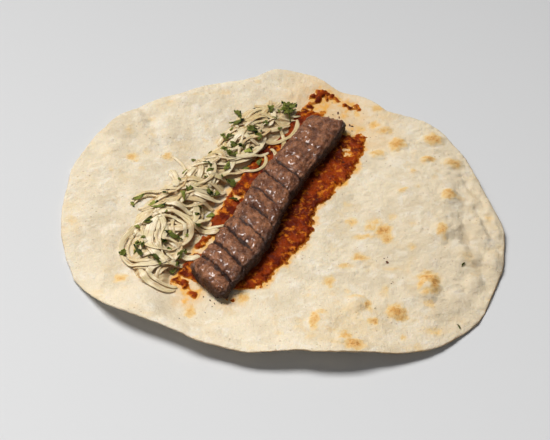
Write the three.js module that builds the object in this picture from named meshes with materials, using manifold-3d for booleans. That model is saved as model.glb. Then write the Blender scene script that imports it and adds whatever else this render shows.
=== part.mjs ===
// An open kebab wrap: a stretched flatbread lying on a table, a band of pepper paste spread across it, a long
// hand-pressed kebab on the paste, and a heap of sliced onion with chopped parsley beside the kebab.
// Millimetres, +Z up, origin on the table under the middle of the bread. +X is to the diner's right, +Y away.

import * as THREE from "three";
import { mergeVertices } from "three/addons/utils/BufferGeometryUtils.js";
import Module from "manifold-3d";

const wasm = await Module();
wasm.setup();

const TURN = 2 * Math.PI;
const DEGREE = Math.PI / 180;

// ---------------------------------------------------------------- driving sizes, in millimetres

const GAP = 0.3; // air between two pieces that touch

// The bread's rim: its distance from the origin every 10 degrees, anticlockwise from +X.
const RIM_RADII = [
  194, 188, 186, 184, 174, 164, 167, 164, 178, 185, 173, 175, 181, 185, 193, 200, 202, 201,
  203, 204, 204, 205, 201, 190, 185, 187, 187, 184, 191, 198, 208, 220, 222, 217, 213, 208,
];
// How far the rim's underside stands off the table, every 15 degrees: the diner's side curls up.
const RIM_LIFTS = [
  2.5, 3, 3, 3, 4, 5, 5, 4, 3, 3, 3, 2.5,
  2, 2, 2.5, 15, 15, 13.5, 16.8, 18, 8.5, 1.5, 0.8, 2.5,
];
const RIM_RIPPLES = [
  { count: 11, height: 1.0, phase: 0.6 },
  { count: 19, height: 0.6, phase: 2.1 },
];

const BREAD = {
  thickness: 2.4,
  rimThickness: 1.8,
  rimRound: 1.2, // how far the rim's round edge reaches outward
  liftStart: 0.5, // share of the radius where the rim's lift begins
  liftPower: 1.8, // how sharply it then grows towards the rim
  topRings: 24,
};
// Broad arches where the sheet stands off the table inside the rim.
const ARCHES = [
  { x: 138, y: -12, height: 10, reachX: 42, reachY: 95 },
  { x: -128, y: 40, height: 5, reachX: 42, reachY: 62 },
  { x: -60, y: 128, height: 4, reachX: 60, reachY: 34 },
  { x: 62, y: -128, height: 3, reachX: 60, reachY: 30 },
];
// Oven blisters: round swellings of the upper face.
const BLISTERS = [
  { x: 131, y: -97, radius: 14, height: 5.5 },
  { x: 100, y: -133, radius: 12, height: 2.6 },
  { x: 69, y: -118, radius: 14, height: 3.4 },
  { x: 34, y: -143, radius: 18, height: 2.8 },
  { x: 114, y: 76, radius: 13, height: 3.2 },
  { x: 93, y: 62, radius: 12, height: 2.2 },
  { x: 148, y: 80, radius: 16, height: 3.0 },
  { x: 163, y: 50, radius: 14, height: 3.6 },
  { x: 157, y: 3, radius: 14, height: 3.8 },
  { x: 146, y: -43, radius: 15, height: 3.4 },
  { x: 170, y: -66, radius: 14, height: 3.0 },
  { x: 100, y: 101, radius: 12, height: 2.4 },
  { x: -150, y: 106, radius: 26, height: 4.6 },
  { x: -108, y: 96, radius: 28, height: 3.6 },
  { x: -162, y: 52, radius: 24, height: 3.0 },
];

// The filling lies along a slanting line through the origin. "along" runs up this line from the diner's
// side, and "across" runs to its right.
const FILLING_BEARING = 62.6 * DEGREE;
const PRESSED = { from: 28, to: 58 }; // the filling's weight holds the sheet flat this near the kebab

const KEBAB = {
  from: -124,
  to: 116,
  // Middle line and width at even steps along the kebab.
  middles: [-10.5, -7, -5, -6, -9, -9, -7.5, -5.5, -6],
  widths: [43, 44, 46, 45, 42, 40, 38, 40, 38],
  heights: [12, 16, 17, 17, 17, 17, 17, 16.5, 14.5],
  endLength: 11, // the rounding at each end
  firstGroove: 15,
  pitch: 20, // from one finger groove to the next
  grooveDepth: 2.6,
  // How far a groove slips back along the kebab for each millimetre across it, at even steps.
  slants: [0.56, 0.44, 0.4, 0.36, 0.28, 0.1, -0.16],
  rings: 48,
  sides: 20,
};

const PASTE = {
  depth: 1.6,
  edgeDepth: 0.7,
  ripple: 2.6, // how far the ragged edge wanders
};
// The paste's bands: [along, left edge across, right edge across].
const PASTE_BAND = [
  [-120, -42, -18],
  [-110, -43, 16],
  [-98, -42, 33],
  [-70, -44, 36],
  [-45, -46, 41],
  [-25, -47, 44],
  [10, -50, 32],
  [32, -51, 38],
  [55, -51, 41],
  [80, -50, 43],
  [100, -44, 39],
  [112, -41, 33],
];
const PASTE_TONGUE = [
  [96, -44, -22],
  [112, -42, -19],
  [128, -39, -17],
  [142, -37, -20],
  [156, -35, -25],
];
const PASTE_TIP = [
  [100, 16, 38],
  [108, 20, 37],
  [118, 24, 34],
];

const ONION_CORE = {
  height: 5.5,
  edgeHeight: 1.5,
  ripple: 3,
};
const ONION_BAND = [
  [-144, -66, -46],
  [-134, -82, -42],
  [-120, -92, -46],
  [-98, -104, -42],
  [-74, -112, -44],
  [-48, -108, -52],
  [-15, -99, -52],
  [15, -96, -53],
  [40, -88, -46],
  [62, -91, -42],
  [86, -91, -36],
  [108, -82, -38],
  [122, -70, -44],
];
const ONION_STRIP = { width: 4.6, height: 2.6, stepLength: 9 };
// The slices that lie on top: an arc's middle, radius, first bearing and sweep in degrees, how far it lies
// above what is under it, how far its middle arches up, and its width where it is broad.
const ONION_ARCS = [
  { x: -118, y: -57, radius: 26, start: 112, sweep: 200, lay: 2.5, arch: 3, width: 5.6 },
  { x: -100, y: -81, radius: 25, start: 202, sweep: 85, lay: 0.6, arch: 1, width: 6.4 },
  { x: -86, y: -48, radius: 33, start: 142, sweep: 100, lay: 5.5, arch: 4, width: 8 },
  { x: -103, y: -41, radius: 22, start: -47, sweep: 175, lay: 4.5, arch: 5, width: 5 },
  { x: -120, y: -8, radius: 19, start: 55, sweep: 110, lay: 0.8, arch: 3, width: 3.2 },
  { x: -108, y: -50, radius: 40, start: 50, sweep: 36, lay: 5.5, arch: 1, width: 5 },
  { x: -110, y: -18, radius: 33, start: -20, sweep: 38, lay: 4.5, arch: 2, width: 6 },
  { x: -64, y: 0, radius: 37, start: 246, sweep: 62, lay: 3.6, arch: 1, width: 5.6 },
  { x: -81, y: -50, radius: 20, start: 240, sweep: 75, lay: 2.2, arch: 1, width: 6.4 },
  { x: -130, y: 25, radius: 44, start: 14, sweep: 40, lay: 0.8, arch: 2, width: 3.2 },
  { x: -130, y: 20, radius: 32, start: -10, sweep: 46, lay: 1.6, arch: 3, width: 7.5 },
  { x: -69, y: 35, radius: 28, start: 234, sweep: 72, lay: 4.4, arch: 3 },
  { x: -54, y: 50, radius: 24, start: 233, sweep: 76, lay: 4.6, arch: 3 },
  { x: -66, y: 48, radius: 13, start: 0, sweep: 100, lay: 4.5, arch: 3, width: 6 },
  { x: -29, y: 55, radius: 15, start: 228, sweep: 155, lay: 4, arch: 1, width: 3.2 },
  { x: -14, y: 108, radius: 30, start: 264, sweep: 102, lay: 4.2, arch: 3, width: 4.2 },
  { x: -22, y: 80, radius: 26, start: -24, sweep: 68, lay: 5.6, arch: 2, width: 4 },
  { x: -20, y: 58, radius: 16, start: -32, sweep: 78, lay: 3.8, arch: 2, width: 4 },
  { x: -20, y: 60, radius: 30, start: 98, sweep: 62, lay: 5.6, arch: 3, width: 7 },
  { x: -5, y: 72, radius: 37, start: 100, sweep: 42, lay: 4.8, arch: 2, width: 5 },
  { x: -24, y: 110, radius: 18, start: -46, sweep: 70, lay: 4, arch: 2, width: 6 },
  { x: -22, y: 84, radius: 27, start: 28, sweep: 56, lay: 7, arch: 2 },
  { x: -36, y: 70, radius: 24, start: 100, sweep: 66, lay: 3.6, arch: 4 },
];
const ONION_FILLERS = {
  seed: 20,
  count: 20,
  radius: [16, 34],
  sweep: [50, 110],
  lay: [2.5, 5.5],
};

// ---------------------------------------------------------------- small helpers

// A repeatable draw from 0 to 1.
function makeRandom(seed) {
  let state = seed >>> 0;
  return () => {
    state = (Math.imul(state, 1664525) + 1013904223) >>> 0;
    return state / 4294967296;
  };
}

const mix = (a, b, t) => a + (b - a) * t;
const clamp01 = (t) => Math.min(1, Math.max(0, t));

function smoothstep(from, to, value) {
  const t = clamp01((value - from) / (to - from));
  return t * t * (3 - 2 * t);
}

// Catmull-Rom between b and c.
function curveBetween(a, b, c, d, t) {
  return b + 0.5 * t * (c - a + t * (2 * a - 5 * b + 4 * c - d + t * (3 * (b - c) + d - a)));
}

// A smooth value through even steps of a list, for a share from 0 to 1 along it.
function valueAlong(list, share) {
  const last = list.length - 1;
  const place = clamp01(share) * last;
  const i = Math.min(last - 1, Math.floor(place));
  const at = (k) => list[Math.min(last, Math.max(0, k))];
  return curveBetween(at(i - 1), at(i), at(i + 1), at(i + 2), place - i);
}

// Left and right edge of a band at a distance along it, by straight runs between its stations.
function edgesAt(band, along) {
  const last = band.length - 1;
  const i = Math.min(last - 1, Math.max(0, band.findIndex((row) => row[0] > along) - 1));
  const k = along >= band[last][0] ? last - 1 : i;
  const t = clamp01((along - band[k][0]) / (band[k + 1][0] - band[k][0]));
  return [mix(band[k][1], band[k + 1][1], t), mix(band[k][2], band[k + 1][2], t)];
}

// ---------------------------------------------------------------- the filling's own directions

const DIRECTION = { x: Math.cos(FILLING_BEARING), y: Math.sin(FILLING_BEARING) };
const alongOf = (x, y) => x * DIRECTION.x + y * DIRECTION.y;
const acrossOf = (x, y) => x * DIRECTION.y - y * DIRECTION.x;
const placeAt = (along, across) => [
  along * DIRECTION.x + across * DIRECTION.y,
  along * DIRECTION.y - across * DIRECTION.x,
];

const kebabShare = (along) => (along - KEBAB.from) / (KEBAB.to - KEBAB.from);
const kebabMiddle = (along) => valueAlong(KEBAB.middles, kebabShare(along));
const kebabWidth = (along) => valueAlong(KEBAB.widths, kebabShare(along));

// How far a point lies from the kebab's middle line.
function fromKebab(x, y) {
  const along = alongOf(x, y);
  const nearest = Math.min(KEBAB.to, Math.max(KEBAB.from, along));
  return Math.hypot(along - nearest, acrossOf(x, y) - kebabMiddle(nearest));
}

// ---------------------------------------------------------------- the bread's form

// A smooth value through a list of even steps round the rim.
function valueAround(list, angle) {
  const count = list.length;
  const place = (((angle / TURN) % 1) + 1) % 1 * count;
  const i = Math.floor(place);
  const at = (k) => list[(k + count) % count];
  return curveBetween(at(i - 1), at(i), at(i + 1), at(i + 2), place - i);
}

function rimRadius(angle) {
  const smooth = valueAround(RIM_RADII, angle);
  return RIM_RIPPLES.reduce((r, { count: n, height, phase }) => r + height * Math.sin(n * angle + phase), smooth);
}

const rimLift = (angle) => Math.max(0, valueAround(RIM_LIFTS, angle));

// How far the sheet's underside stands off the table.
function liftAt(x, y) {
  const angle = Math.atan2(y, x);
  const share = Math.hypot(x, y) / rimRadius(angle);
  const outward = clamp01((share - BREAD.liftStart) / (1 - BREAD.liftStart)) ** BREAD.liftPower;
  const arched = ARCHES.reduce(
    (sum, a) => sum + a.height * Math.exp(-(((x - a.x) / a.reachX) ** 2) - ((y - a.y) / a.reachY) ** 2),
    0,
  );
  const inside = 1 - clamp01(share) ** 6;
  return (rimLift(angle) * outward + arched * inside) * smoothstep(PRESSED.from, PRESSED.to, fromKebab(x, y));
}

function blisterAt(x, y) {
  return BLISTERS.reduce((sum, b) => {
    const d = Math.hypot(x - b.x, y - b.y) / b.radius;
    return d < 1 ? sum + b.height * (0.5 + 0.5 * Math.cos(Math.PI * d)) : sum;
  }, 0);
}

const breadTop = (x, y) => liftAt(x, y) + BREAD.thickness + blisterAt(x, y);

// ---------------------------------------------------------------- solids from rings of points

// Collects points and faces of one closed body.
class Shell {
  constructor() {
    this.points = [];
    this.faces = [];
  }

  ring(points) {
    const first = this.points.length;
    this.points.push(...points);
    return points.map((_, i) => first + i);
  }

  // Joins two closed rings that may have different counts, in step with each other round the turn. Seen
  // from outside, ring a is on the left of ring b when both run upward.
  zip(a, b) {
    let i = 0;
    let j = 0;
    while (i < a.length || j < b.length) {
      const takeA = j === b.length || (i < a.length && (i + 1) / a.length <= (j + 1) / b.length);
      if (takeA) {
        this.faces.push([a[i % a.length], b[j % b.length], a[(i + 1) % a.length]]);
        i += 1;
      } else {
        this.faces.push([a[i % a.length], b[j % b.length], b[(j + 1) % b.length]]);
        j += 1;
      }
    }
  }

  // Closes a ring with a fan to one point. turned says which way round the fan faces.
  cap(ring, point, turned) {
    const [tip] = this.ring([point]);
    ring.forEach((v, i) => {
      const next = ring[(i + 1) % ring.length];
      this.faces.push(turned ? [next, v, tip] : [v, next, tip]);
    });
  }

  geometry() {
    const flat = this.faces.flatMap((face) => face.flatMap((v) => this.points[v]));
    return new THREE.BufferGeometry().setAttribute("position", new THREE.Float32BufferAttribute(flat, 3));
  }
}

// A closed body through a row of rings with equal counts, its two ends closed by fans.
function loft(rings) {
  const shell = new Shell();
  const made = rings.map((points) => shell.ring(points));
  const middle = (points) => [0, 1, 2].map((k) => points.reduce((sum, p) => sum + p[k], 0) / points.length);
  made.slice(1).forEach((ring, i) => shell.zip(ring, made[i]));
  shell.cap(made[0], middle(rings[0]), true);
  shell.cap(made[made.length - 1], middle(rings[rings.length - 1]), false);
  return shell.geometry();
}

function solidOf(geometry) {
  const merged = mergeVertices(geometry, 1e-4);
  const mesh = new wasm.Mesh({
    numProp: 3,
    vertProperties: new Float32Array(merged.attributes.position.array),
    triVerts: new Uint32Array(merged.index.array),
  });
  return new wasm.Manifold(mesh);
}

function geometryOf(solid) {
  const mesh = solid.getMesh();
  const points = new Float32Array(mesh.numVert * 3);
  for (let i = 0; i < mesh.numVert; i += 1) {
    const from = i * mesh.numProp;
    points.set(mesh.vertProperties.subarray(from, from + 3), i * 3);
  }
  return new THREE.BufferGeometry()
    .setAttribute("position", new THREE.BufferAttribute(points, 3))
    .setIndex(new THREE.BufferAttribute(new Uint32Array(mesh.triVerts), 1));
}

// The largest body of several geometries joined, so that no loose scrap is left.
function joined(geometries) {
  const whole = geometries.map(solidOf).reduce((sum, next) => sum.add(next));
  const bodies = whole.decompose().sort((a, b) => b.volume() - a.volume());
  return geometryOf(bodies[0]);
}

// ---------------------------------------------------------------- the bread

const BREAD_UNDER_RINGS = [
  { share: 0.94, count: 96 },
  { share: 0.87, count: 72 },
  { share: 0.8, count: 72 },
  { share: 0.74, count: 72 },
  { share: 0.68, count: 60 },
  { share: 0.6, count: 48 },
  { share: 0.5, count: 42 },
  { share: 0.38, count: 36 },
  { share: 0.17, count: 18 },
];

// A ring of the bread at a share of its radius, with its height from a function of x and y.
function breadRing(count, share, inset, heightAt) {
  return Array.from({ length: count }, (_, i) => {
    const angle = (i / count) * TURN;
    const radius = rimRadius(angle) * share - inset;
    const [x, y] = [radius * Math.cos(angle), radius * Math.sin(angle)];
    return [x, y, heightAt(x, y)];
  });
}

function makeBread() {
  const shell = new Shell();
  const n = BREAD.topRings;
  const top = Array.from({ length: n - 1 }, (_, k) => shell.ring(breadRing(6 * (k + 1), (k + 1) / n, 0, breadTop)));
  const topEdge = (x, y) => liftAt(x, y) + BREAD.rimThickness + blisterAt(x, y);
  const rimEdge = (x, y) => liftAt(x, y) + BREAD.rimThickness / 2;
  top.push(shell.ring(breadRing(6 * n, 1, BREAD.rimRound, topEdge)));
  const rim = shell.ring(breadRing(6 * n, 1, 0, rimEdge));
  const under = [shell.ring(breadRing(6 * n, 1, BREAD.rimRound, liftAt))];
  under.push(...BREAD_UNDER_RINGS.map(({ share, count }) => shell.ring(breadRing(count, share, 0, liftAt))));

  shell.cap(top[0], [0, 0, breadTop(0, 0)], false);
  top.slice(1).forEach((ring, k) => shell.zip(top[k], ring));
  shell.zip(top[n - 1], rim);
  shell.zip(rim, under[0]);
  under.slice(1).forEach((ring, k) => shell.zip(under[k], ring));
  shell.cap(under[under.length - 1], [0, 0, liftAt(0, 0)], true);
  return shell.geometry();
}

// ---------------------------------------------------------------- bands that lie on the bread

// A closed layer over a band, from one height function up to another.
function layer({ band, step, columns, ripple, seed, bottom, top }) {
  const random = makeRandom(seed);
  const [from, to] = [band[0][0], band[band.length - 1][0]];
  const rows = Math.round((to - from) / step);
  const rings = Array.from({ length: rows + 1 }, (_, r) => {
    const along = mix(from, to, r / rows);
    const [left, right] = edgesAt(band, along);
    const a = left + ripple * (random() - 0.5) * 2;
    const b = right + ripple * (random() - 0.5) * 2;
    const end = Math.min(r, rows - r) === 0 ? 0.6 : 1;
    const acrossAt = (c) => mix((a + b) / 2, mix(a, b, c / columns), end);
    const places = Array.from({ length: columns + 1 }, (_, c) => placeAt(along, acrossAt(c)));
    const edgeOf = (c) => Math.min(1, Math.min(c, columns - c, r, rows - r));
    const upper = places.map(([x, y], c) => [x, y, top(x, y, edgeOf(c))]);
    const lower = places.map(([x, y]) => [x, y, bottom(x, y)]);
    return [...upper, ...lower.reverse()];
  });
  return loft(rings);
}

const pasteFloor = (x, y) => breadTop(x, y) + GAP;
const PASTE_FACE = BREAD.thickness + GAP + PASTE.depth; // the paste's height under the kebab

// The paste's upper face: flat under the kebab, lumpy beside it, thin at its edges.
function pasteTop(x, y, edge) {
  const beside = smoothstep(0, 8, fromKebab(x, y) - kebabWidth(alongOf(x, y)) / 2);
  const lumps = 0.55 * Math.sin(x * 0.52 + 1.3) * Math.sin(y * 0.47) + 0.35 * Math.sin(x * 0.21 - y * 0.33);
  const depth = mix(PASTE.edgeDepth, PASTE.depth + beside * (0.5 + lumps), edge);
  return pasteFloor(x, y) + depth;
}

function makePaste() {
  const shared = { columns: 8, ripple: PASTE.ripple, bottom: pasteFloor, top: pasteTop };
  return joined([
    layer({ ...shared, band: PASTE_BAND, step: 6, seed: 3 }),
    layer({ ...shared, band: PASTE_TONGUE, step: 6, columns: 4, seed: 5 }),
    layer({ ...shared, band: PASTE_TIP, step: 6, columns: 4, seed: 8 }),
  ]);
}

// ---------------------------------------------------------------- the kebab

// How far the finger grooves press in, from 0 on a lobe to 1 in a groove.
const grooveAt = (fromEnd) => 1 - Math.abs(Math.sin((Math.PI * (fromEnd - KEBAB.firstGroove)) / KEBAB.pitch)) ** 0.6;

function kebabRing(along) {
  const [middle, width] = [kebabMiddle(along), kebabWidth(along)];
  const slant = valueAlong(KEBAB.slants, kebabShare(along));
  const toEnd = Math.min(along - KEBAB.from, KEBAB.to - along);
  const end = Math.sqrt(clamp01(1 - (1 - clamp01(toEnd / KEBAB.endLength)) ** 2));
  const groove = KEBAB.grooveDepth * grooveAt(along - KEBAB.from) * smoothstep(4, 12, toEnd);
  const base = PASTE_FACE + GAP;
  const half = (valueAlong(KEBAB.heights, kebabShare(along)) / 2) * mix(0.42, 1, end);
  return Array.from({ length: KEBAB.sides }, (_, i) => {
    const angle = -(i / KEBAB.sides) * TURN;
    const [c, s] = [Math.cos(angle), Math.sin(angle)];
    const reach = (width / 2) * mix(0.74, 1, end) - 0.6 * groove;
    const side = Math.sign(c) * Math.abs(c) ** 0.66 * reach;
    const rise = Math.sign(s) * Math.abs(s) ** (s > 0 ? 0.66 : 0.5);
    const z = base + half + rise * half - (s > 0 ? groove * s ** 0.4 : 0);
    const [x, y] = placeAt(along - slant * side, middle + side);
    return [x, y, Math.max(base, z)];
  });
}

function makeKebab() {
  const { from, to, rings } = KEBAB;
  return loft(Array.from({ length: rings + 1 }, (_, r) => kebabRing(mix(from, to, r / rings))));
}

// ---------------------------------------------------------------- the onion heap

// The heap's underside: on the bread, and up over the paste where the heap leans on it.
function onionFloor(x, y) {
  const [along, across] = [alongOf(x, y), acrossOf(x, y)];
  const edge = edgesAt(along < PASTE_TONGUE[0][0] ? PASTE_BAND : PASTE_TONGUE, along)[0] - PASTE.ripple;
  const lengthwise = smoothstep(PASTE_BAND[0][0] - 22, PASTE_BAND[0][0] - 8, along);
  const over = smoothstep(edge - 15, edge - 5, across) * lengthwise;
  return breadTop(x, y) + GAP + over * (PASTE.depth + 1.4 + GAP);
}

// A strip of onion bent along an arc, of a rectangular section that narrows at its ends.
function onionStrip({ x, y, radius, start, sweep, lay, arch, width = ONION_STRIP.width }) {
  const { height, stepLength } = ONION_STRIP;
  const steps = Math.max(3, Math.round((radius * sweep * DEGREE) / stepLength));
  const rings = Array.from({ length: steps + 1 }, (_, i) => {
    const t = i / steps;
    const angle = (start + sweep * t) * DEGREE;
    const narrow = mix(0.5, 1, Math.sin(Math.PI * clamp01(t)) ** 0.5);
    const half = (width / 2) * narrow;
    const spot = (r) => [x + (radius + r) * Math.cos(angle), y + (radius + r) * Math.sin(angle)];
    const under = [-half, half].map((r) => onionFloor(...spot(r)));
    const low = Math.max(...under) + 0.2 + lay + arch * Math.sin(Math.PI * t);
    const high = low + height * narrow;
    return [[...spot(-half), low], [...spot(-half * 0.8), high], [...spot(half * 0.8), high], [...spot(half), low]];
  });
  return loft(rings);
}

const KEBAB_SIDE = 3.3; // a strip's middle line stops this far short of the kebab's edge

// A strip may not run into the kebab: it is shortened from whichever end is too near, or left out.
function clearOfKebab(arc) {
  const nearAt = (angle) => {
    const [x, y] = [arc.x + arc.radius * Math.cos(angle * DEGREE), arc.y + arc.radius * Math.sin(angle * DEGREE)];
    return fromKebab(x, y) < kebabWidth(alongOf(x, y)) / 2 + KEBAB_SIDE;
  };
  let { start, sweep } = arc;
  while (sweep > 30 && nearAt(start)) {
    start += 4;
    sweep -= 4;
  }
  while (sweep > 30 && nearAt(start + sweep)) sweep -= 4;
  const inside = [0.25, 0.5, 0.75].some((t) => nearAt(start + sweep * t));
  return sweep > 30 && !inside ? [{ ...arc, start, sweep }] : [];
}

// More slices over the heap, spread evenly along it.
function onionFillers() {
  const { seed, count, radius, sweep, lay } = ONION_FILLERS;
  const random = makeRandom(seed);
  const between = ([low, high]) => mix(low, high, random());
  const [from, to] = [ONION_BAND[0][0] + 30, ONION_BAND[ONION_BAND.length - 1][0] - 24];
  return Array.from({ length: count }, (_, i) => {
    const along = mix(from, to, (i + 0.5) / count);
    const [left, right] = edgesAt(ONION_BAND, along);
    const [cx, cy] = placeAt(along, mix(left + 6, right - 6, random()));
    const bearing = 15 + 90 + 180 * Math.round(random()) + 70 * (random() - 0.5);
    const arc = { radius: between(radius), sweep: between(sweep), lay: between(lay), arch: 2 };
    arc.start = bearing - arc.sweep / 2;
    const middle = bearing * DEGREE;
    return { ...arc, x: cx - arc.radius * Math.cos(middle), y: cy - arc.radius * Math.sin(middle) };
  });
}

function makeOnions() {
  const coreTop = (x, y, edge) => onionFloor(x, y) + mix(ONION_CORE.edgeHeight, ONION_CORE.height, edge);
  const core = layer({
    band: ONION_BAND,
    step: 10,
    columns: 6,
    ripple: ONION_CORE.ripple,
    seed: 11,
    bottom: onionFloor,
    top: coreTop,
  });
  const strips = [...ONION_ARCS, ...onionFillers()].flatMap(clearOfKebab).map(onionStrip);
  return joined([core, ...strips]);
}

// ---------------------------------------------------------------- the assembly

const COLOURS = {
  bread: new THREE.MeshStandardMaterial({ color: 0xe9dcc0, roughness: 0.85, metalness: 0 }),
  paste: new THREE.MeshStandardMaterial({ color: 0xa63c0f, roughness: 0.4, metalness: 0 }),
  meat: new THREE.MeshStandardMaterial({ color: 0x6b4a3f, roughness: 0.5, metalness: 0 }),
  onion: new THREE.MeshStandardMaterial({ color: 0xd9d3b4, roughness: 0.35, metalness: 0 }),
};

function part(name, geometry, material) {
  const mesh = new THREE.Mesh(geometry, material);
  mesh.name = name;
  return mesh;
}

const wrap = new THREE.Group();
wrap.add(
  part("flatbread", makeBread(), COLOURS.bread),
  part("pepper_paste", makePaste(), COLOURS.paste),
  part("kebab", makeKebab(), COLOURS.meat),
  part("onion_heap", makeOnions(), COLOURS.onion),
);

export default wrap;
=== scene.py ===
"""The look of an open kebab wrap: flatbread, pepper paste, a pressed kebab, sliced onion and parsley.

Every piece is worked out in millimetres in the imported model's own frame, +X to the right, +Y away and +Z up,
and is turned into metres when its mesh is made.
"""

from __future__ import annotations

import logging
import math
from dataclasses import dataclass, field
from enum import Enum
from typing import Callable, Sequence, Union

import bpy
import numpy as np
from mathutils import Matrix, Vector


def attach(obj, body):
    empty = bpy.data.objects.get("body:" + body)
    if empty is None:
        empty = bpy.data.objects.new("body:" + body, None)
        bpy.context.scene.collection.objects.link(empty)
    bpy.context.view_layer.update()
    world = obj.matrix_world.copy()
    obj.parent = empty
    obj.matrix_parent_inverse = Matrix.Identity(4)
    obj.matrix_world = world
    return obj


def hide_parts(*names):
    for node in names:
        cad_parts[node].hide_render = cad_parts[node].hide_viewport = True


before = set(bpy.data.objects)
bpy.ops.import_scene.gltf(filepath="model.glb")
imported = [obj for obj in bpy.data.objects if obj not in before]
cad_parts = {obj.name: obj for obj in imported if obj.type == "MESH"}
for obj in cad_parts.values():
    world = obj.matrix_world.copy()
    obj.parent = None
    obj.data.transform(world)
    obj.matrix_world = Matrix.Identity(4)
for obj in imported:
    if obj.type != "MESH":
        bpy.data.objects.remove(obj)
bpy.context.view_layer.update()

log = logging.getLogger("kebab_wrap")

MM = 0.001
GOLDEN = 0.618
Array = np.ndarray
Draw = np.random.Generator
Heights = Callable[[Array, Array], Array]
Triple = tuple[float, float, float]
Colour = Triple
Rows = tuple[Triple, ...]


# ---------------------------------------------------------------- arithmetic on arrays


def mix(low: Array | float, high: Array | float, share: Array | float) -> Array | float:
    """Return the value a share of the way from low to high."""
    return low + (high - low) * share


def smoothstep(low: Array | float, high: Array | float, value: Array) -> Array:
    """Return 0 below low, 1 above high and a smooth rise between.

    Args:
        low: where the rise begins. It may be above high, for a fall.
        high: where it ends.
        value: what is measured.

    Returns:
        The rise, from 0 to 1, for each value.
    """
    share = np.clip((value - low) / (high - low), 0.0, 1.0)
    return share * share * (3.0 - 2.0 * share)


def curve(before: Array, start: Array, end: Array, after: Array, share: Array) -> Array:
    """Return a smooth curve's value between start and end.

    Args:
        before: the value one step before start.
        start: the value at share 0.
        end: the value at share 1.
        after: the value one step after end.
        share: how far from start to end, from 0 to 1.

    Returns:
        The value at each share.
    """
    bend = 2 * before - 5 * start + 4 * end - after + share * (3 * (start - end) + after - before)
    return start + 0.5 * share * (end - before + share * bend)


def along_list(values: Sequence[float], share: Array) -> Array:
    """Return a smooth value through evenly spaced values.

    Args:
        values: the values at even steps.
        share: places along them, from 0 to 1.

    Returns:
        The value at each place.
    """
    table = np.asarray(values, dtype=float)
    last = len(table) - 1
    place = np.clip(share, 0.0, 1.0) * last
    i = np.minimum(last - 1, np.floor(place).astype(int))
    picks = [table[np.clip(i + k, 0, last)] for k in (-1, 0, 1, 2)]
    return curve(*picks, place - i)


def around_list(values: Sequence[float], angle: Array) -> Array:
    """Return a smooth value through values evenly spaced round a full turn.

    Args:
        values: the values, the first at angle 0.
        angle: places round the turn, in radians.

    Returns:
        The value at each place.
    """
    table = np.asarray(values, dtype=float)
    place = (angle / (2 * math.pi) % 1.0) * len(table)
    i = np.floor(place).astype(int)
    picks = [table[(i + k) % len(table)] for k in (-1, 0, 1, 2)]
    return curve(*picks, place - i)


def along_rows(rows: Rows, place: Array) -> tuple[Array, Array]:
    """Return the left and right edge of a band at places along it.

    Args:
        rows: stations, each (along, left edge, right edge).
        place: places along the band.

    Returns:
        The left edges and the right edges.
    """
    table = np.asarray(rows, dtype=float)
    return np.interp(place, table[:, 0], table[:, 1]), np.interp(place, table[:, 0], table[:, 2])


def inside_band(rows: Rows, along: Array, across: Array) -> Array:
    """Return how far places lie inside a band; below 0 is outside.

    Args:
        rows: stations, each (along, left edge, right edge).
        along: each place along the band.
        across: each place across it.

    Returns:
        The distance to the nearest edge or end.
    """
    left, right = along_rows(rows, along)
    ends = np.minimum(along - rows[0][0], rows[-1][0] - along)
    return np.minimum(np.minimum(across - left, right - across), ends)


def turned(degrees: float) -> tuple[float, float]:
    """Return an angle's cosine and sine."""
    return math.cos(math.radians(degrees)), math.sin(math.radians(degrees))


def ring_angles(sides: int) -> Array:
    """Return evenly spaced angles round a full turn, in radians."""
    return np.linspace(0, 2 * math.pi, sides, endpoint=False)


def on_plane(x: Array, y: Array) -> Array:
    """Return places with a height of 0, one row each."""
    return np.stack([x, y, np.zeros_like(x)], axis=-1)


def evenly(i: int, start: float) -> float:
    """Return one of a run of shares that fill 0 to 1 evenly, however many are taken."""
    return (i * GOLDEN + start) % 1.0


def each(kind: type, *rows: tuple[float, ...]) -> tuple:
    """Return one object of a kind for each row of its values."""
    return tuple(kind(*row) for row in rows)


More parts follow.
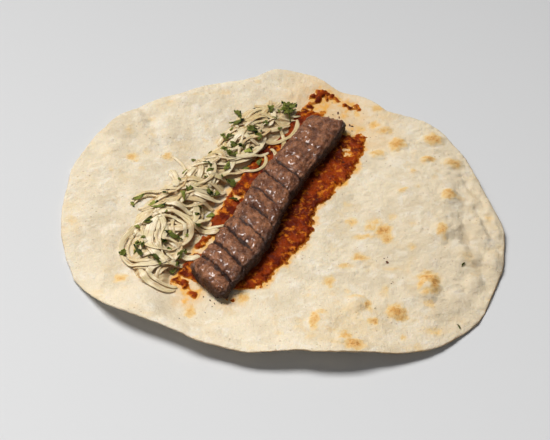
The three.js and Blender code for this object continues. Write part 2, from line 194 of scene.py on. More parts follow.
class Noise:
    """Smooth noise in space that is the same on every run.

    Its tables have ROWS rows, GAIN brings its bumps to about -1 to 1, APART is how far each finer layer is
    moved off the last, and FAR is beyond any lump.
    """

    ROWS = 256
    GAIN = 1.6
    APART = 31.7
    FAR = 9.0

    def __init__(self, seed: int) -> None:
        """Draw the tables.

        Args:
            seed: which noise it is.
        """
        draw = np.random.default_rng(seed)
        self.order = draw.permutation(self.ROWS)
        slopes = draw.normal(size=(self.ROWS, 3))
        self.slopes = slopes / np.linalg.norm(slopes, axis=1, keepdims=True)
        self.seats = draw.random((self.ROWS, 3))

    def _cell(self, corner: Array) -> Array:
        """Return each grid corner's row in the tables.

        Args:
            corner: the corners, in whole cells, one row each.

        Returns:
            The rows' numbers.
        """
        first = self.order[corner[:, 0] % self.ROWS]
        second = self.order[(first + corner[:, 1]) % self.ROWS]
        return self.order[(second + corner[:, 2]) % self.ROWS]

    def smooth(self, points: Array, size: float) -> Array:
        """Return soft bumps, from about -1 to 1.

        Args:
            points: places, one row each.
            size: how far apart the bumps are.

        Returns:
            The bump height at each place.
        """
        place = points / size
        base = np.floor(place).astype(int)
        inside = place - base
        ease = inside**3 * (inside * (inside * 6 - 15) + 10)
        total = np.zeros(len(points))
        for corner in np.ndindex(2, 2, 2):
            offset = np.array(corner)
            weight = np.prod(np.where(offset, ease, 1 - ease), axis=1)
            slope = self.slopes[self._cell(base + offset)]
            total += weight * np.sum((inside - offset) * slope, axis=1)
        return total * self.GAIN

    def layered(self, points: Array, size: float, layers: int = 3, keep: float = 0.5) -> Array:
        """Return bumps on bumps, each layer half the size of the last.

        Args:
            points: places, one row each.
            size: how far apart the largest bumps are.
            layers: how many layers.
            keep: how much of its height each layer passes on to the next.

        Returns:
            The height at each place.
        """
        return sum(self.smooth(points + self.APART * k, size / 2**k) * keep**k for k in range(layers))

    def lumps(self, points: Array, size: float) -> tuple[Array, Array]:
        """Return how near each place is to scattered lumps.

        Args:
            points: places, one row each.
            size: how far apart the lumps are.

        Returns:
            The distance to the nearest lump and to the next, in lump sizes.
        """
        place = points / size
        base = np.floor(place).astype(int)
        nearest = np.full(len(points), self.FAR)
        second = nearest.copy()
        for step in np.ndindex(3, 3, 3):
            corner = base + np.array(step) - 1
            away = np.linalg.norm(corner + self.seats[self._cell(corner)] - place, axis=1)
            second = np.minimum(second, np.maximum(nearest, away))
            nearest = np.minimum(nearest, away)
        return nearest, second


# ---------------------------------------------------------------- meshes


@dataclass
class Surface:
    """A mesh in the making.

    Attributes:
        points: one row for each vertex, in millimetres.
        faces: arrays of vertex numbers, each with faces of one size.
        values: named values, one for each vertex.
    """

    points: Array
    faces: list[Array]
    values: dict[str, Array] = field(default_factory=dict)

    @staticmethod
    def joined(surfaces: Sequence["Surface"]) -> "Surface":
        """Return several surfaces as one.

        Args:
            surfaces: the surfaces, which all name the same values.

        Returns:
            Their points, faces and values, in their order.
        """
        faces: list[Array] = []
        first = 0
        for surface in surfaces:
            faces += [rows + first for rows in surface.faces]
            first += len(surface.points)
        values = {name: np.concatenate([s.values[name] for s in surfaces]) for name in surfaces[0].values}
        return Surface(np.concatenate([s.points for s in surfaces]), faces, values)


def grid_faces(rows: int, columns: int) -> Array:
    """Return the faces of a grid of vertices that is counted row by row."""
    first = np.arange(rows - 1)[:, None] * columns + np.arange(columns - 1)[None, :]
    return np.stack([first, first + 1, first + columns + 1, first + columns], axis=-1).reshape(-1, 4)


def band_faces(outer: Array, inner: Array) -> Array:
    """Return the faces between two closed rings of vertices."""
    return np.stack([outer, np.roll(outer, -1), np.roll(inner, -1), inner], axis=-1)


def tube_faces(rings: int, sides: int, first: int = 0) -> Array:
    """Return the faces between closed rings of vertices, one after another.

    Args:
        rings: how many rings.
        sides: how many vertices each has.
        first: the first vertex's number.

    Returns:
        The faces, ring by ring.
    """
    ring = np.arange(rings - 1)[:, None] * sides + first
    side = np.arange(sides)[None, :]
    beside = (side + 1) % sides
    corners = [ring + side, ring + beside, ring + sides + beside, ring + sides + side]
    return np.stack(corners, axis=-1).reshape(-1, 4)


def fan_faces(ring: Array, tip: int, flipped: bool = False) -> Array:
    """Return the triangles from a closed ring to one vertex.

    Args:
        ring: the ring's vertices.
        tip: the one vertex.
        flipped: whether they face the other way.

    Returns:
        The triangles.
    """
    pair = (ring, np.roll(ring, -1))
    return np.stack([*(pair[::-1] if flipped else pair), np.full(len(ring), tip)], axis=-1)


def capsule_faces(rings: int, sides: int, flipped: bool = False) -> list[Array]:
    """Return the faces of a tube that two more vertices close, at its first and its last ring.

    Args:
        rings: how many rings.
        sides: how many vertices each has.
        flipped: whether the rings run the other way round.

    Returns:
        The tube's faces and the two ends'.
    """
    tube, side, tips = tube_faces(rings, sides), np.arange(sides), rings * sides
    return [
        tube if flipped else tube[:, ::-1],
        fan_faces(side, tips, flipped),
        fan_faces(side + tips - sides, tips + 1, not flipped),
    ]


def with_tips(points: Array, sides: int) -> Array:
    """Return a tube's vertices with the middles of its first and its last ring after them."""
    return np.concatenate([points, [points[:sides].mean(axis=0), points[-sides:].mean(axis=0)]])


def spread_out(x: Array, y: Array, base: Array, rise: Array, bury: float) -> tuple[Surface, Array]:
    """Return what is spread over a base, wherever it rises from it.

    Args:
        x: places on a grid, as a table.
        y: the same.
        base: the base's height at each place, in one row.
        rise: how far the spread stands above it, in one row.
        bury: how far its underside lies in the base.

    Returns:
        A closed surface, upper vertices first, and which places its upper vertices lie at.
    """
    quads = grid_faces(*x.shape)
    used, kept = np.unique(quads[(rise[quads] > 0.0).any(axis=1)], return_inverse=True)
    kept = kept.reshape(-1, 4)
    count = len(used)
    px, py = x.ravel()[used], y.ravel()[used]
    upper = np.stack([px, py, (base + rise)[used]], axis=-1)
    lower = np.stack([px, py, base[used] - bury], axis=-1)
    pairs = np.concatenate([kept[:, [k, (k + 1) % 4]] for k in range(4)])
    key = pairs[:, 0].astype(np.int64) * count + pairs[:, 1]
    back = pairs[:, 1].astype(np.int64) * count + pairs[:, 0]
    rim = pairs[~np.isin(key, back)]
    walls = np.stack([rim[:, 1], rim[:, 0], rim[:, 0] + count, rim[:, 1] + count], axis=-1)
    return Surface(np.concatenate([upper, lower]), [kept[:, ::-1], kept + count, walls[:, ::-1]]), used


def show(thing: bpy.types.Object) -> None:
    """Put an object into the scene."""
    bpy.context.scene.collection.objects.link(thing)


def make_piece(
    name: str, surface: Surface, finish: bpy.types.Material, replaces: str | None = None
) -> bpy.types.Object:
    """Make one object of the scene from a surface.

    Args:
        name: the object's name.
        surface: its shape, in millimetres.
        finish: its material.
        replaces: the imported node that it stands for, if any.

    Returns:
        The object, already riding on the part's one body.
    """
    mesh = bpy.data.meshes.new(name)
    faces = [row for rows in surface.faces for row in rows.tolist()]
    mesh.from_pydata((surface.points * MM).tolist(), [], faces)
    mesh.validate()
    mesh.shade_smooth()
    for key, numbers in surface.values.items():
        mesh.attributes.new(key, "FLOAT", "POINT").data.foreach_set("value", numbers.astype(np.float32))
    mesh.materials.append(finish)
    piece = bpy.data.objects.new(name, mesh)
    show(piece)
    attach(piece, "root")
    if replaces:
        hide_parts(replaces)
    triangles = sum(len(rows) * (rows.shape[1] - 2) for rows in surface.faces)
    log.info("%s: %d vertices, %d triangles", name, len(surface.points), triangles)
    return piece


# ---------------------------------------------------------------- shader nodes

Socket = bpy.types.NodeSocket
Value = Union[Socket, float]
Paint = Union[Socket, Colour]
Feeds = dict[Union[str, int], object]


class Wiring:
    """Adds nodes to one node tree, each already joined to what feeds it."""

    def __init__(self, tree: bpy.types.NodeTree) -> None:
        """Start on the node tree of a material or a group."""
        self.tree = tree

    def join(self, node: bpy.types.Node, feeds: Feeds) -> None:
        """Feed a node.

        Args:
            node: the node.
            feeds: for each input, by name or number, a socket to join or a value to set.
        """
        for key, value in feeds.items():
            if isinstance(value, Socket):
                self.tree.links.new(value, node.inputs[key])
            else:
                node.inputs[key].default_value = value

    def add(self, kind: str, feeds: Feeds | None = None, **settings: object) -> bpy.types.Node:
        """Add one node.

        Args:
            kind: the node's type, without the leading ShaderNode.
            feeds: what feeds it.
            settings: the node's own settings.

        Returns:
            The node.
        """
        node = self.tree.nodes.new("ShaderNode" + kind)
        for key, value in settings.items():
            setattr(node, key, value)
        self.join(node, feeds or {})
        return node

    def value(self, name: str) -> Socket:
        """Return a value that the mesh carries at each vertex."""
        return self.add("Attribute", attribute_name=name).outputs["Fac"]

    def place(self) -> Socket:
        """Return the place on the object, in metres."""
        return self.add("TexCoord").outputs["Object"]

    def cloud(self, scale: Value, detail: float, rough: float = 0.5, warp: float = 0.0) -> bpy.types.Node:
        """Return a noise texture over the object, with its scale in bumps to a metre."""
        feeds = {"Vector": self.place(), "Scale": scale, "Detail": detail}
        return self.add("TexNoise", {**feeds, "Roughness": rough, "Distortion": warp})

    def noise(self, size: float, detail: float = 3.0, rough: float = 0.55, warp: float = 0.0) -> Socket:
        """Return noise with bumps about size millimetres apart."""
        return self.cloud(1000.0 / size, detail, rough, warp).outputs["Fac"]

    def span(self, value: Value, low: Value, high: Value, start: float = 0.0, end: float = 1.0) -> Socket:
        """Return a value spread smoothly from low..high to start..end."""
        feeds = {"Value": value, "From Min": low, "From Max": high, "To Min": start, "To Max": end}
        return self.add("MapRange", feeds, interpolation_type="SMOOTHSTEP").outputs["Result"]

    def work(self, operation: str, first: Value, second: Value, clamp: bool = False) -> Socket:
        """Return two values worked together by a named operation, kept from 0 to 1 where it clamps."""
        return self.add("Math", {0: first, 1: second}, operation=operation, use_clamp=clamp).outputs[0]

    def times(self, first: Value, second: Value) -> Socket:
        """Return the product of two shares, kept from 0 to 1."""
        return self.work("MULTIPLY", first, second, clamp=True)

    def blend(self, share: Value, first: Paint, second: Paint, way: str = "MIX") -> Socket:
        """Return one colour laid over another by a share."""
        under, over = (paint if isinstance(paint, Socket) else (*paint, 1.0) for paint in (first, second))
        return self.add("Mix", {0: share, 6: under, 7: over}, data_type="RGBA", blend_type=way).outputs[2]

    def bump(self, height: Socket, depth: float, strength: float) -> Socket:
        """Return a normal bent by a height, of which 1 measures depth millimetres."""
        feeds = {"Height": height, "Distance": depth * MM, "Strength": strength}
        return self.add("Bump", feeds).outputs["Normal"]

    def group(self, effect: "Effect", **feeds: Value) -> Socket:
        """Return the output of a shared effect, given its inputs' values."""
        return self.add("Group", feeds, node_tree=effect.tree()).outputs[0]

    def mottle(self, scale: float, low: float, high: float) -> Socket:
        """Return the shared soft patches."""
        return self.group(Effect.MOTTLE, Scale=scale, Low=low, High=high)

    def specks(self, scale: float, size: float, amount: float) -> Socket:
        """Return the shared small dots."""
        return self.group(Effect.SPECKS, Scale=scale, Size=size, Amount=amount)

    def grain(self, coarse: float, fine: float, share: float) -> Socket:
        """Return the shared rough surface's height."""
        return self.group(Effect.GRAIN, Coarse=coarse, Fine=fine, Share=share)


class Effect(Enum):
    """The effects that several finishes share, each one shader node group."""

    MOTTLE = "mottle"
    SPECKS = "specks"
    GRAIN = "grain"

    def tree(self) -> bpy.types.NodeTree:
        """Return this effect's node group, built the first time it is asked for.

        Returns:
            The group.
        """
        found = bpy.data.node_groups.get(self.value)
        if found:
            return found
        tree = bpy.data.node_groups.new(self.value, "ShaderNodeTree")
        build = {Effect.MOTTLE: _mottle, Effect.SPECKS: _specks, Effect.GRAIN: _grain}[self]
        build(tree)
        return tree


def _sockets(
    tree: bpy.types.NodeTree, inputs: dict[str, float], output: str
) -> tuple[Wiring, dict[str, Socket], Socket]:
    """Give a group its inputs, with their usual values, and its one output.

    Args:
        tree: the node group.
        inputs: each input's name and usual value.
        output: the output's name.

    Returns:
        The group's wiring, the inputs' sockets by name, and the socket that the result is joined to.
    """
    for name, usual in inputs.items():
        tree.interface.new_socket(name, in_out="INPUT", socket_type="NodeSocketFloat").default_value = usual
    tree.interface.new_socket(output, in_out="OUTPUT", socket_type="NodeSocketFloat")
    start = tree.nodes.new("NodeGroupInput")
    end = tree.nodes.new("NodeGroupOutput")
    return Wiring(tree), {name: start.outputs[name] for name in inputs}, end.inputs[output]


SPECK_BEND = 0.0016  # how far a dot's outline is bent, in metres


def _mottle(tree: bpy.types.NodeTree) -> None:
    """Build soft cloudy patches: Low and High set how much of the surface they take.

    Args:
        tree: the group that they are built in.
    """
    wire, given, result = _sockets(tree, {"Scale": 50.0, "Low": 0.4, "High": 0.6}, "Patch")
    cloud = wire.cloud(given["Scale"], 4.0, 0.6, 0.3).outputs["Fac"]
    tree.links.new(wire.span(cloud, given["Low"], given["High"]), result)


def _specks(tree: bpy.types.NodeTree) -> None:
    """Build small dots: Size is each dot's share of its cell, and Amount the share of cells with one.

    Args:
        tree: the group that they are built in.
    """
    bend = (SPECK_BEND, SPECK_BEND, SPECK_BEND)
    wire, given, result = _sockets(tree, {"Scale": 200.0, "Size": 0.25, "Amount": 0.2}, "Dot")
    bent = wire.cloud(900.0, 1.0).outputs["Color"]
    shift = wire.add("VectorMath", {0: bent, 1: bend}, operation="MULTIPLY").outputs[0]
    moved = wire.add("VectorMath", {0: wire.place(), 1: shift}, operation="ADD").outputs[0]
    cells = wire.add("TexVoronoi", {"Vector": moved, "Scale": given["Scale"]})
    round_dot = wire.work("LESS_THAN", cells.outputs["Distance"], given["Size"])
    drawn = wire.add("SeparateColor", {0: cells.outputs["Color"]}).outputs[0]
    chosen = wire.work("LESS_THAN", drawn, given["Amount"])
    tree.links.new(wire.times(round_dot, chosen), result)


def _grain(tree: bpy.types.NodeTree) -> None:
    """Build the height of a rough surface: Coarse bumps, and a Share of Fine ones.

    Args:
        tree: the group that it is built in.
    """
    wire, given, result = _sockets(tree, {"Coarse": 300.0, "Fine": 1200.0, "Share": 0.5}, "Height")
    coarse = wire.cloud(given["Coarse"], 3.0).outputs["Fac"]
    fine = wire.cloud(given["Fine"], 2.0).outputs["Fac"]
    tree.links.new(wire.work("ADD", coarse, wire.work("MULTIPLY", fine, given["Share"])), result)


class Finish:
    """How one kind of thing looks, as the material that its name says."""

    name: str

    def feeds(self, wire: Wiring) -> Feeds:
        """Return a socket or a value for each shader input that the finish sets."""
        raise NotImplementedError

    def material(self) -> bpy.types.Material:
        """Return the finish as a material with one Principled shader.

        Returns:
            The material.
        """
        material = bpy.data.materials.new(self.name)
        material.use_nodes = True
        material.node_tree.nodes.clear()
        wire = Wiring(material.node_tree)
        shader = wire.add("BsdfPrincipled")
        wire.add("OutputMaterial", {"Surface": shader.outputs[0]})
        wire.join(shader, self.feeds(wire))
        return material


@dataclass(frozen=True)
class BreadFinish(Finish):
    """Pale baked dough with golden toasted spots, brown flecks and an oily stain near the paste, darker
    towards the right, partly by its own tone and partly as painted shade, and with painted shade on the rim's
    side away from the light.
    """

    name: str = "baked_flatbread"
    dough: Colour = (0.86, 0.74, 0.545)
    shade: Colour = (0.75, 0.635, 0.455)
    flour: Colour = (0.89, 0.80, 0.65)
    honey: Colour = (0.86, 0.60, 0.26)
    gold: Colour = (0.72, 0.37, 0.10)
    brown: Colour = (0.36, 0.14, 0.035)
    fleck: Colour = (0.36, 0.21, 0.10)
    oil: Colour = (0.88, 0.45, 0.070)
    # Darker towards the right: partly the dough's own tone, partly painted shade.
    tone_and_shade_right: Colour = (0.92, 0.90, 0.87)
    # Darker at the edge: a little all round, and most, as painted shade, on the side that faces away from the
    # light.
    rim_edge_and_shade: Colour = (0.40, 0.25, 0.12)

    def feeds(self, wire: Wiring) -> Feeds:
        """Return what feeds the shader.

        Args:
            wire: the wiring of the material's tree.

        Returns:
            A socket or a value for each input that the finish sets.
        """
        dough = wire.blend(wire.mottle(28.0, 0.42, 0.62), self.dough, self.shade)
        dough = wire.blend(wire.mottle(75.0, 0.48, 0.70), dough, self.flour)
        dough = wire.blend(wire.times(wire.mottle(420.0, 0.35, 0.75), 0.22), dough, self.shade)
        dough = wire.blend(wire.times(wire.mottle(48.0, 0.52, 0.78), 0.4), dough, self.honey)

        broken = wire.span(wire.noise(3.2, 4.0, 0.65), 0.25, 0.75, 0.55, 1.15)
        toasted = wire.times(wire.value("toast"), broken)
        dough = wire.blend(wire.span(toasted, 0.02, 0.52, 0.0, 0.92), dough, self.honey)
        dough = wire.blend(wire.span(toasted, 0.32, 0.92, 0.0, 0.95), dough, self.gold)
        deep = wire.times(wire.span(toasted, 0.66, 1.0), wire.mottle(330.0, 0.42, 0.62))
        dough = wire.blend(wire.times(deep, 0.75), dough, self.brown)
        # Darker towards the right: partly the dough's own tone, partly painted shade where the sheet slopes
        # away from the light.
        dough = wire.blend(wire.value("tone_and_shade_right"), dough, self.tone_and_shade_right, "MULTIPLY")
        # Darker at the edge: a little all round, and most, as painted shade, on the side that faces away from
        # the light.
        rim = wire.times(wire.value("rim"), wire.span(wire.noise(9.0), 0.3, 0.7, 0.5, 1.0))
        dough = wire.blend(rim, dough, self.rim_edge_and_shade)

        patchy = wire.span(wire.noise(7.0, 4.0, 0.65), 0.35, 0.62, 0.62, 1.1)
        stain = wire.times(wire.value("oil"), patchy)
        dough = wire.blend(wire.times(stain, 0.95), dough, self.oil)

        few, more = wire.specks(230.0, 0.20, 0.24), wire.specks(150.0, 0.13, 0.18)
        dots = wire.work("ADD", wire.times(few, 0.42), wire.times(more, 0.5), clamp=True)
        dots = wire.times(dots, wire.span(wire.noise(26.0), 0.38, 0.62, 0.25, 1.0))
        folds = wire.work("MULTIPLY", wire.noise(10.0, 4.0, 0.6, 0.5), 1.1)
        height = wire.work("ADD", wire.grain(300.0, 850.0, 0.7), folds)
        return {
            "Base Color": wire.blend(dots, dough, self.fleck),
            "Roughness": wire.span(stain, 0.0, 1.0, 0.78, 0.42),
            "Specular IOR Level": 0.25,
            "Subsurface Weight": 0.12,
            "Subsurface Radius": (1.0, 0.7, 0.4),
            "Subsurface Scale": 0.003,
            "Normal": wire.bump(height, 1.1, 0.75),
        }


@dataclass(frozen=True)
class PasteFinish(Finish):
    """Coarse red pepper paste, moist with oil."""

    name: str = "pepper_paste_moist"
    red: Colour = (0.30, 0.038, 0.002)
    deep: Colour = (0.115, 0.010, 0.001)
    orange: Colour = (0.66, 0.180, 0.010)
    glow: Colour = (0.78, 0.290, 0.030)
    char: Colour = (0.05, 0.014, 0.004)

    def feeds(self, wire: Wiring) -> Feeds:
        """Return what feeds the shader.

        Args:
            wire: the wiring of the material's tree.

        Returns:
            A socket or a value for each input that the finish sets.
        """
        base = wire.blend(wire.mottle(95.0, 0.42, 0.60), self.red, self.deep)
        base = wire.blend(wire.mottle(165.0, 0.51, 0.67), base, self.orange)
        base = wire.blend(wire.mottle(430.0, 0.56, 0.70), base, self.deep)
        base = wire.blend(wire.span(wire.value("thin"), 0.3, 1.0, 0.0, 0.75), base, self.glow)
        base = wire.blend(wire.times(wire.specks(230.0, 0.30, 0.10), 0.7), base, self.char)
        return {
            "Base Color": wire.blend(wire.times(wire.specks(340.0, 0.26, 0.12), 0.45), base, self.orange),
            "Roughness": wire.span(wire.noise(2.4), 0.3, 0.7, 0.26, 0.6),
            "Specular IOR Level": 0.07,
            "Normal": wire.bump(wire.grain(420.0, 1300.0, 0.4), 1.4, 0.7),
        }


@dataclass(frozen=True)
class MeatFinish(Finish):
    """Grilled minced meat: grey-brown, with painted shade in its grooves and on its lower side, shining with
    fat.
    """

    name: str = "grilled_mince"
    lean: Colour = (0.142, 0.043, 0.016)
    pale: Colour = (0.375, 0.148, 0.064)
    # Charred crust in patches, and the colour of the painted shade.
    crust_and_shade: Colour = (0.016, 0.004, 0.002)
    fat: Colour = (0.50, 0.32, 0.20)

    def feeds(self, wire: Wiring) -> Feeds:
        """Return what feeds the shader.

        Args:
            wire: the wiring of the material's tree.

        Returns:
            A socket or a value for each input that the finish sets.
        """
        groove = wire.value("groove")
        base = wire.blend(wire.mottle(110.0, 0.36, 0.64), self.lean, self.pale)
        base = wire.blend(wire.mottle(330.0, 0.56, 0.78), base, self.crust_and_shade)
        base = wire.blend(wire.times(wire.mottle(520.0, 0.55, 0.72), 0.38), base, self.fat)
        base = wire.blend(wire.times(wire.specks(300.0, 0.28, 0.10), 0.35), base, self.fat)
        return {
            # The groove value paints shade into grooves, gaps between lumps and the lower side, and darkens
            # the near tip.
            "Base Color": wire.blend(wire.span(groove, 0.12, 0.95, 0.0, 0.90), base, self.crust_and_shade),
            "Roughness": wire.span(wire.mottle(430.0, 0.50, 0.57), 0.0, 1.0, 0.60, 0.15),
            "Specular IOR Level": 0.38,
            "Coat Weight": wire.times(wire.mottle(290.0, 0.50, 0.58), wire.span(groove, 0.1, 0.7, 1.0, 0.0)),
            "Coat Roughness": 0.1,
            "Coat IOR": 1.55,
            "Normal": wire.bump(wire.grain(380.0, 1100.0, 0.6), 1.7, 0.9),
        }


@dataclass(frozen=True)
class OnionFinish(Finish):
    """Raw onion: pale, moist flesh with fibres along each slice, browner at the edges, with a warm painted
    shade deep down between the slices.
    """

    name: str = "raw_onion"
    flesh: Colour = (0.67, 0.47, 0.225)
    pale: Colour = (0.90, 0.75, 0.475)
    line: Colour = (0.47, 0.27, 0.125)
    green: Colour = (0.62, 0.50, 0.21)
    shade: Colour = (0.70, 0.455, 0.22)

    def feeds(self, wire: Wiring) -> Feeds:
        """Return what feeds the shader.

        Args:
            wire: the wiring of the material's tree.

        Returns:
            A socket or a value for each input that the finish sets.
        """
        base = wire.blend(wire.value("tone"), self.pale, self.flesh)
        base = wire.blend(wire.times(wire.mottle(60.0, 0.45, 0.65), 0.5), base, self.green)
        grain = wire.add("CombineXYZ", {0: wire.value("across"), 1: wire.value("run")}).outputs[0]
        fibres = wire.add("TexNoise", {"Vector": grain, "Scale": 1.0, "Detail": 2.0}).outputs["Fac"]
        base = wire.blend(wire.span(fibres, 0.50, 0.66, 0.0, 0.6), base, self.pale)
        base = wire.blend(wire.span(fibres, 0.47, 0.34, 0.0, 0.65), base, self.line)
        edge = wire.span(wire.value("edge"), 0.5, 1.0, 0.0, 0.85)
        base = wire.blend(wire.times(edge, wire.span(wire.noise(10.0), 0.38, 0.62)), base, self.line)
        return {
            # Painted shade: places lying deep under the slices above them are tinted towards the shade colour.
            "Base Color": wire.blend(wire.times(wire.value("deep"), 0.9), base, self.shade),
            "Roughness": 0.28,
            "Specular IOR Level": 0.30,
            "Subsurface Weight": 0.45,
            "Subsurface Radius": (0.8, 0.9, 1.0),
            "Subsurface Scale": 0.002,
            "Normal": wire.bump(wire.grain(380.0, 1100.0, 0.3), 0.4, 0.35),
        }


@dataclass(frozen=True)
class LeafFinish(Finish):
    """Chopped parsley, dark green with lighter cut edges."""

    name: str = "fresh_parsley"
    dark: Colour = (0.004, 0.010, 0.0005)
    mid: Colour = (0.085, 0.108, 0.008)
    light: Colour = (0.46, 0.48, 0.10)

    def feeds(self, wire: Wiring) -> Feeds:
        """Return what feeds the shader.

        Args:
            wire: the wiring of the material's tree.

        Returns:
            A socket or a value for each input that the finish sets.
        """
        base = wire.blend(wire.value("tone"), self.dark, self.light)
        base = wire.blend(wire.mottle(260.0, 0.46, 0.72), base, self.mid)
        return {
            "Base Color": wire.blend(wire.mottle(150.0, 0.50, 0.60), base, self.dark),
            "Roughness": 0.42,
            "Specular IOR Level": 0.06,
            "Subsurface Weight": 0.1,
            "Subsurface Scale": 0.001,
            "Normal": wire.bump(wire.grain(500.0, 1600.0, 0.3), 0.4, 0.5),
        }


@dataclass(frozen=True)
class CrumbFinish(Finish):
    """Small charred and peppery bits."""

    name: str = "charred_bits"
    red: Colour = (0.22, 0.05, 0.015)
    char: Colour = (0.025, 0.014, 0.010)

    def feeds(self, wire: Wiring) -> Feeds:
        """Return what feeds the shader's inputs."""
        base = wire.blend(wire.value("tone"), self.char, self.red)
        return {"Base Color": wire.blend(wire.mottle(500.0, 0.4, 0.7), base, self.char), "Roughness": 0.5}


@dataclass(frozen=True)
class FloorFinish(Finish):
    """The matt pale floor of a studio."""

    name: str = "studio_floor"
    pale: Colour = (0.70, 0.705, 0.715)

    def feeds(self, wire: Wiring) -> Feeds:
        """Return what feeds the shader's inputs."""
        return {"Base Color": (*self.pale, 1.0), "Roughness": 0.9, "Specular IOR Level": 0.1}


# ---------------------------------------------------------------- the filling's line


@dataclass(frozen=True)
class FillingLine:
    """The slanting line through the origin that the filling lies along.

    Attributes:
        bearing: its turn from +X, in degrees. Along runs up it and across runs to its right.
    """

    bearing: float = 62.6

    def split(self, x: Array, y: Array) -> tuple[Array, Array]:
        """Return how far along and across the line each place is."""
        c, s = turned(self.bearing)
        return x * c + y * s, x * s - y * c

    def place(self, along: Array, across: Array) -> tuple[Array, Array]:
        """Return the x and y of places given along and across the line."""
        c, s = turned(self.bearing)
        return along * c + across * s, along * s - across * c

    def grid(self, extent: tuple[float, ...], step: float) -> tuple[Array, Array]:
        """Return the x and y of a grid: extent says where it starts and ends along, then across."""
        along, across = np.arange(*extent[:2], step), np.arange(*extent[2:], step)
        return self.place(*np.meshgrid(along, across, indexing="ij"))


LINE = FillingLine()


# ---------------------------------------------------------------- the kebab


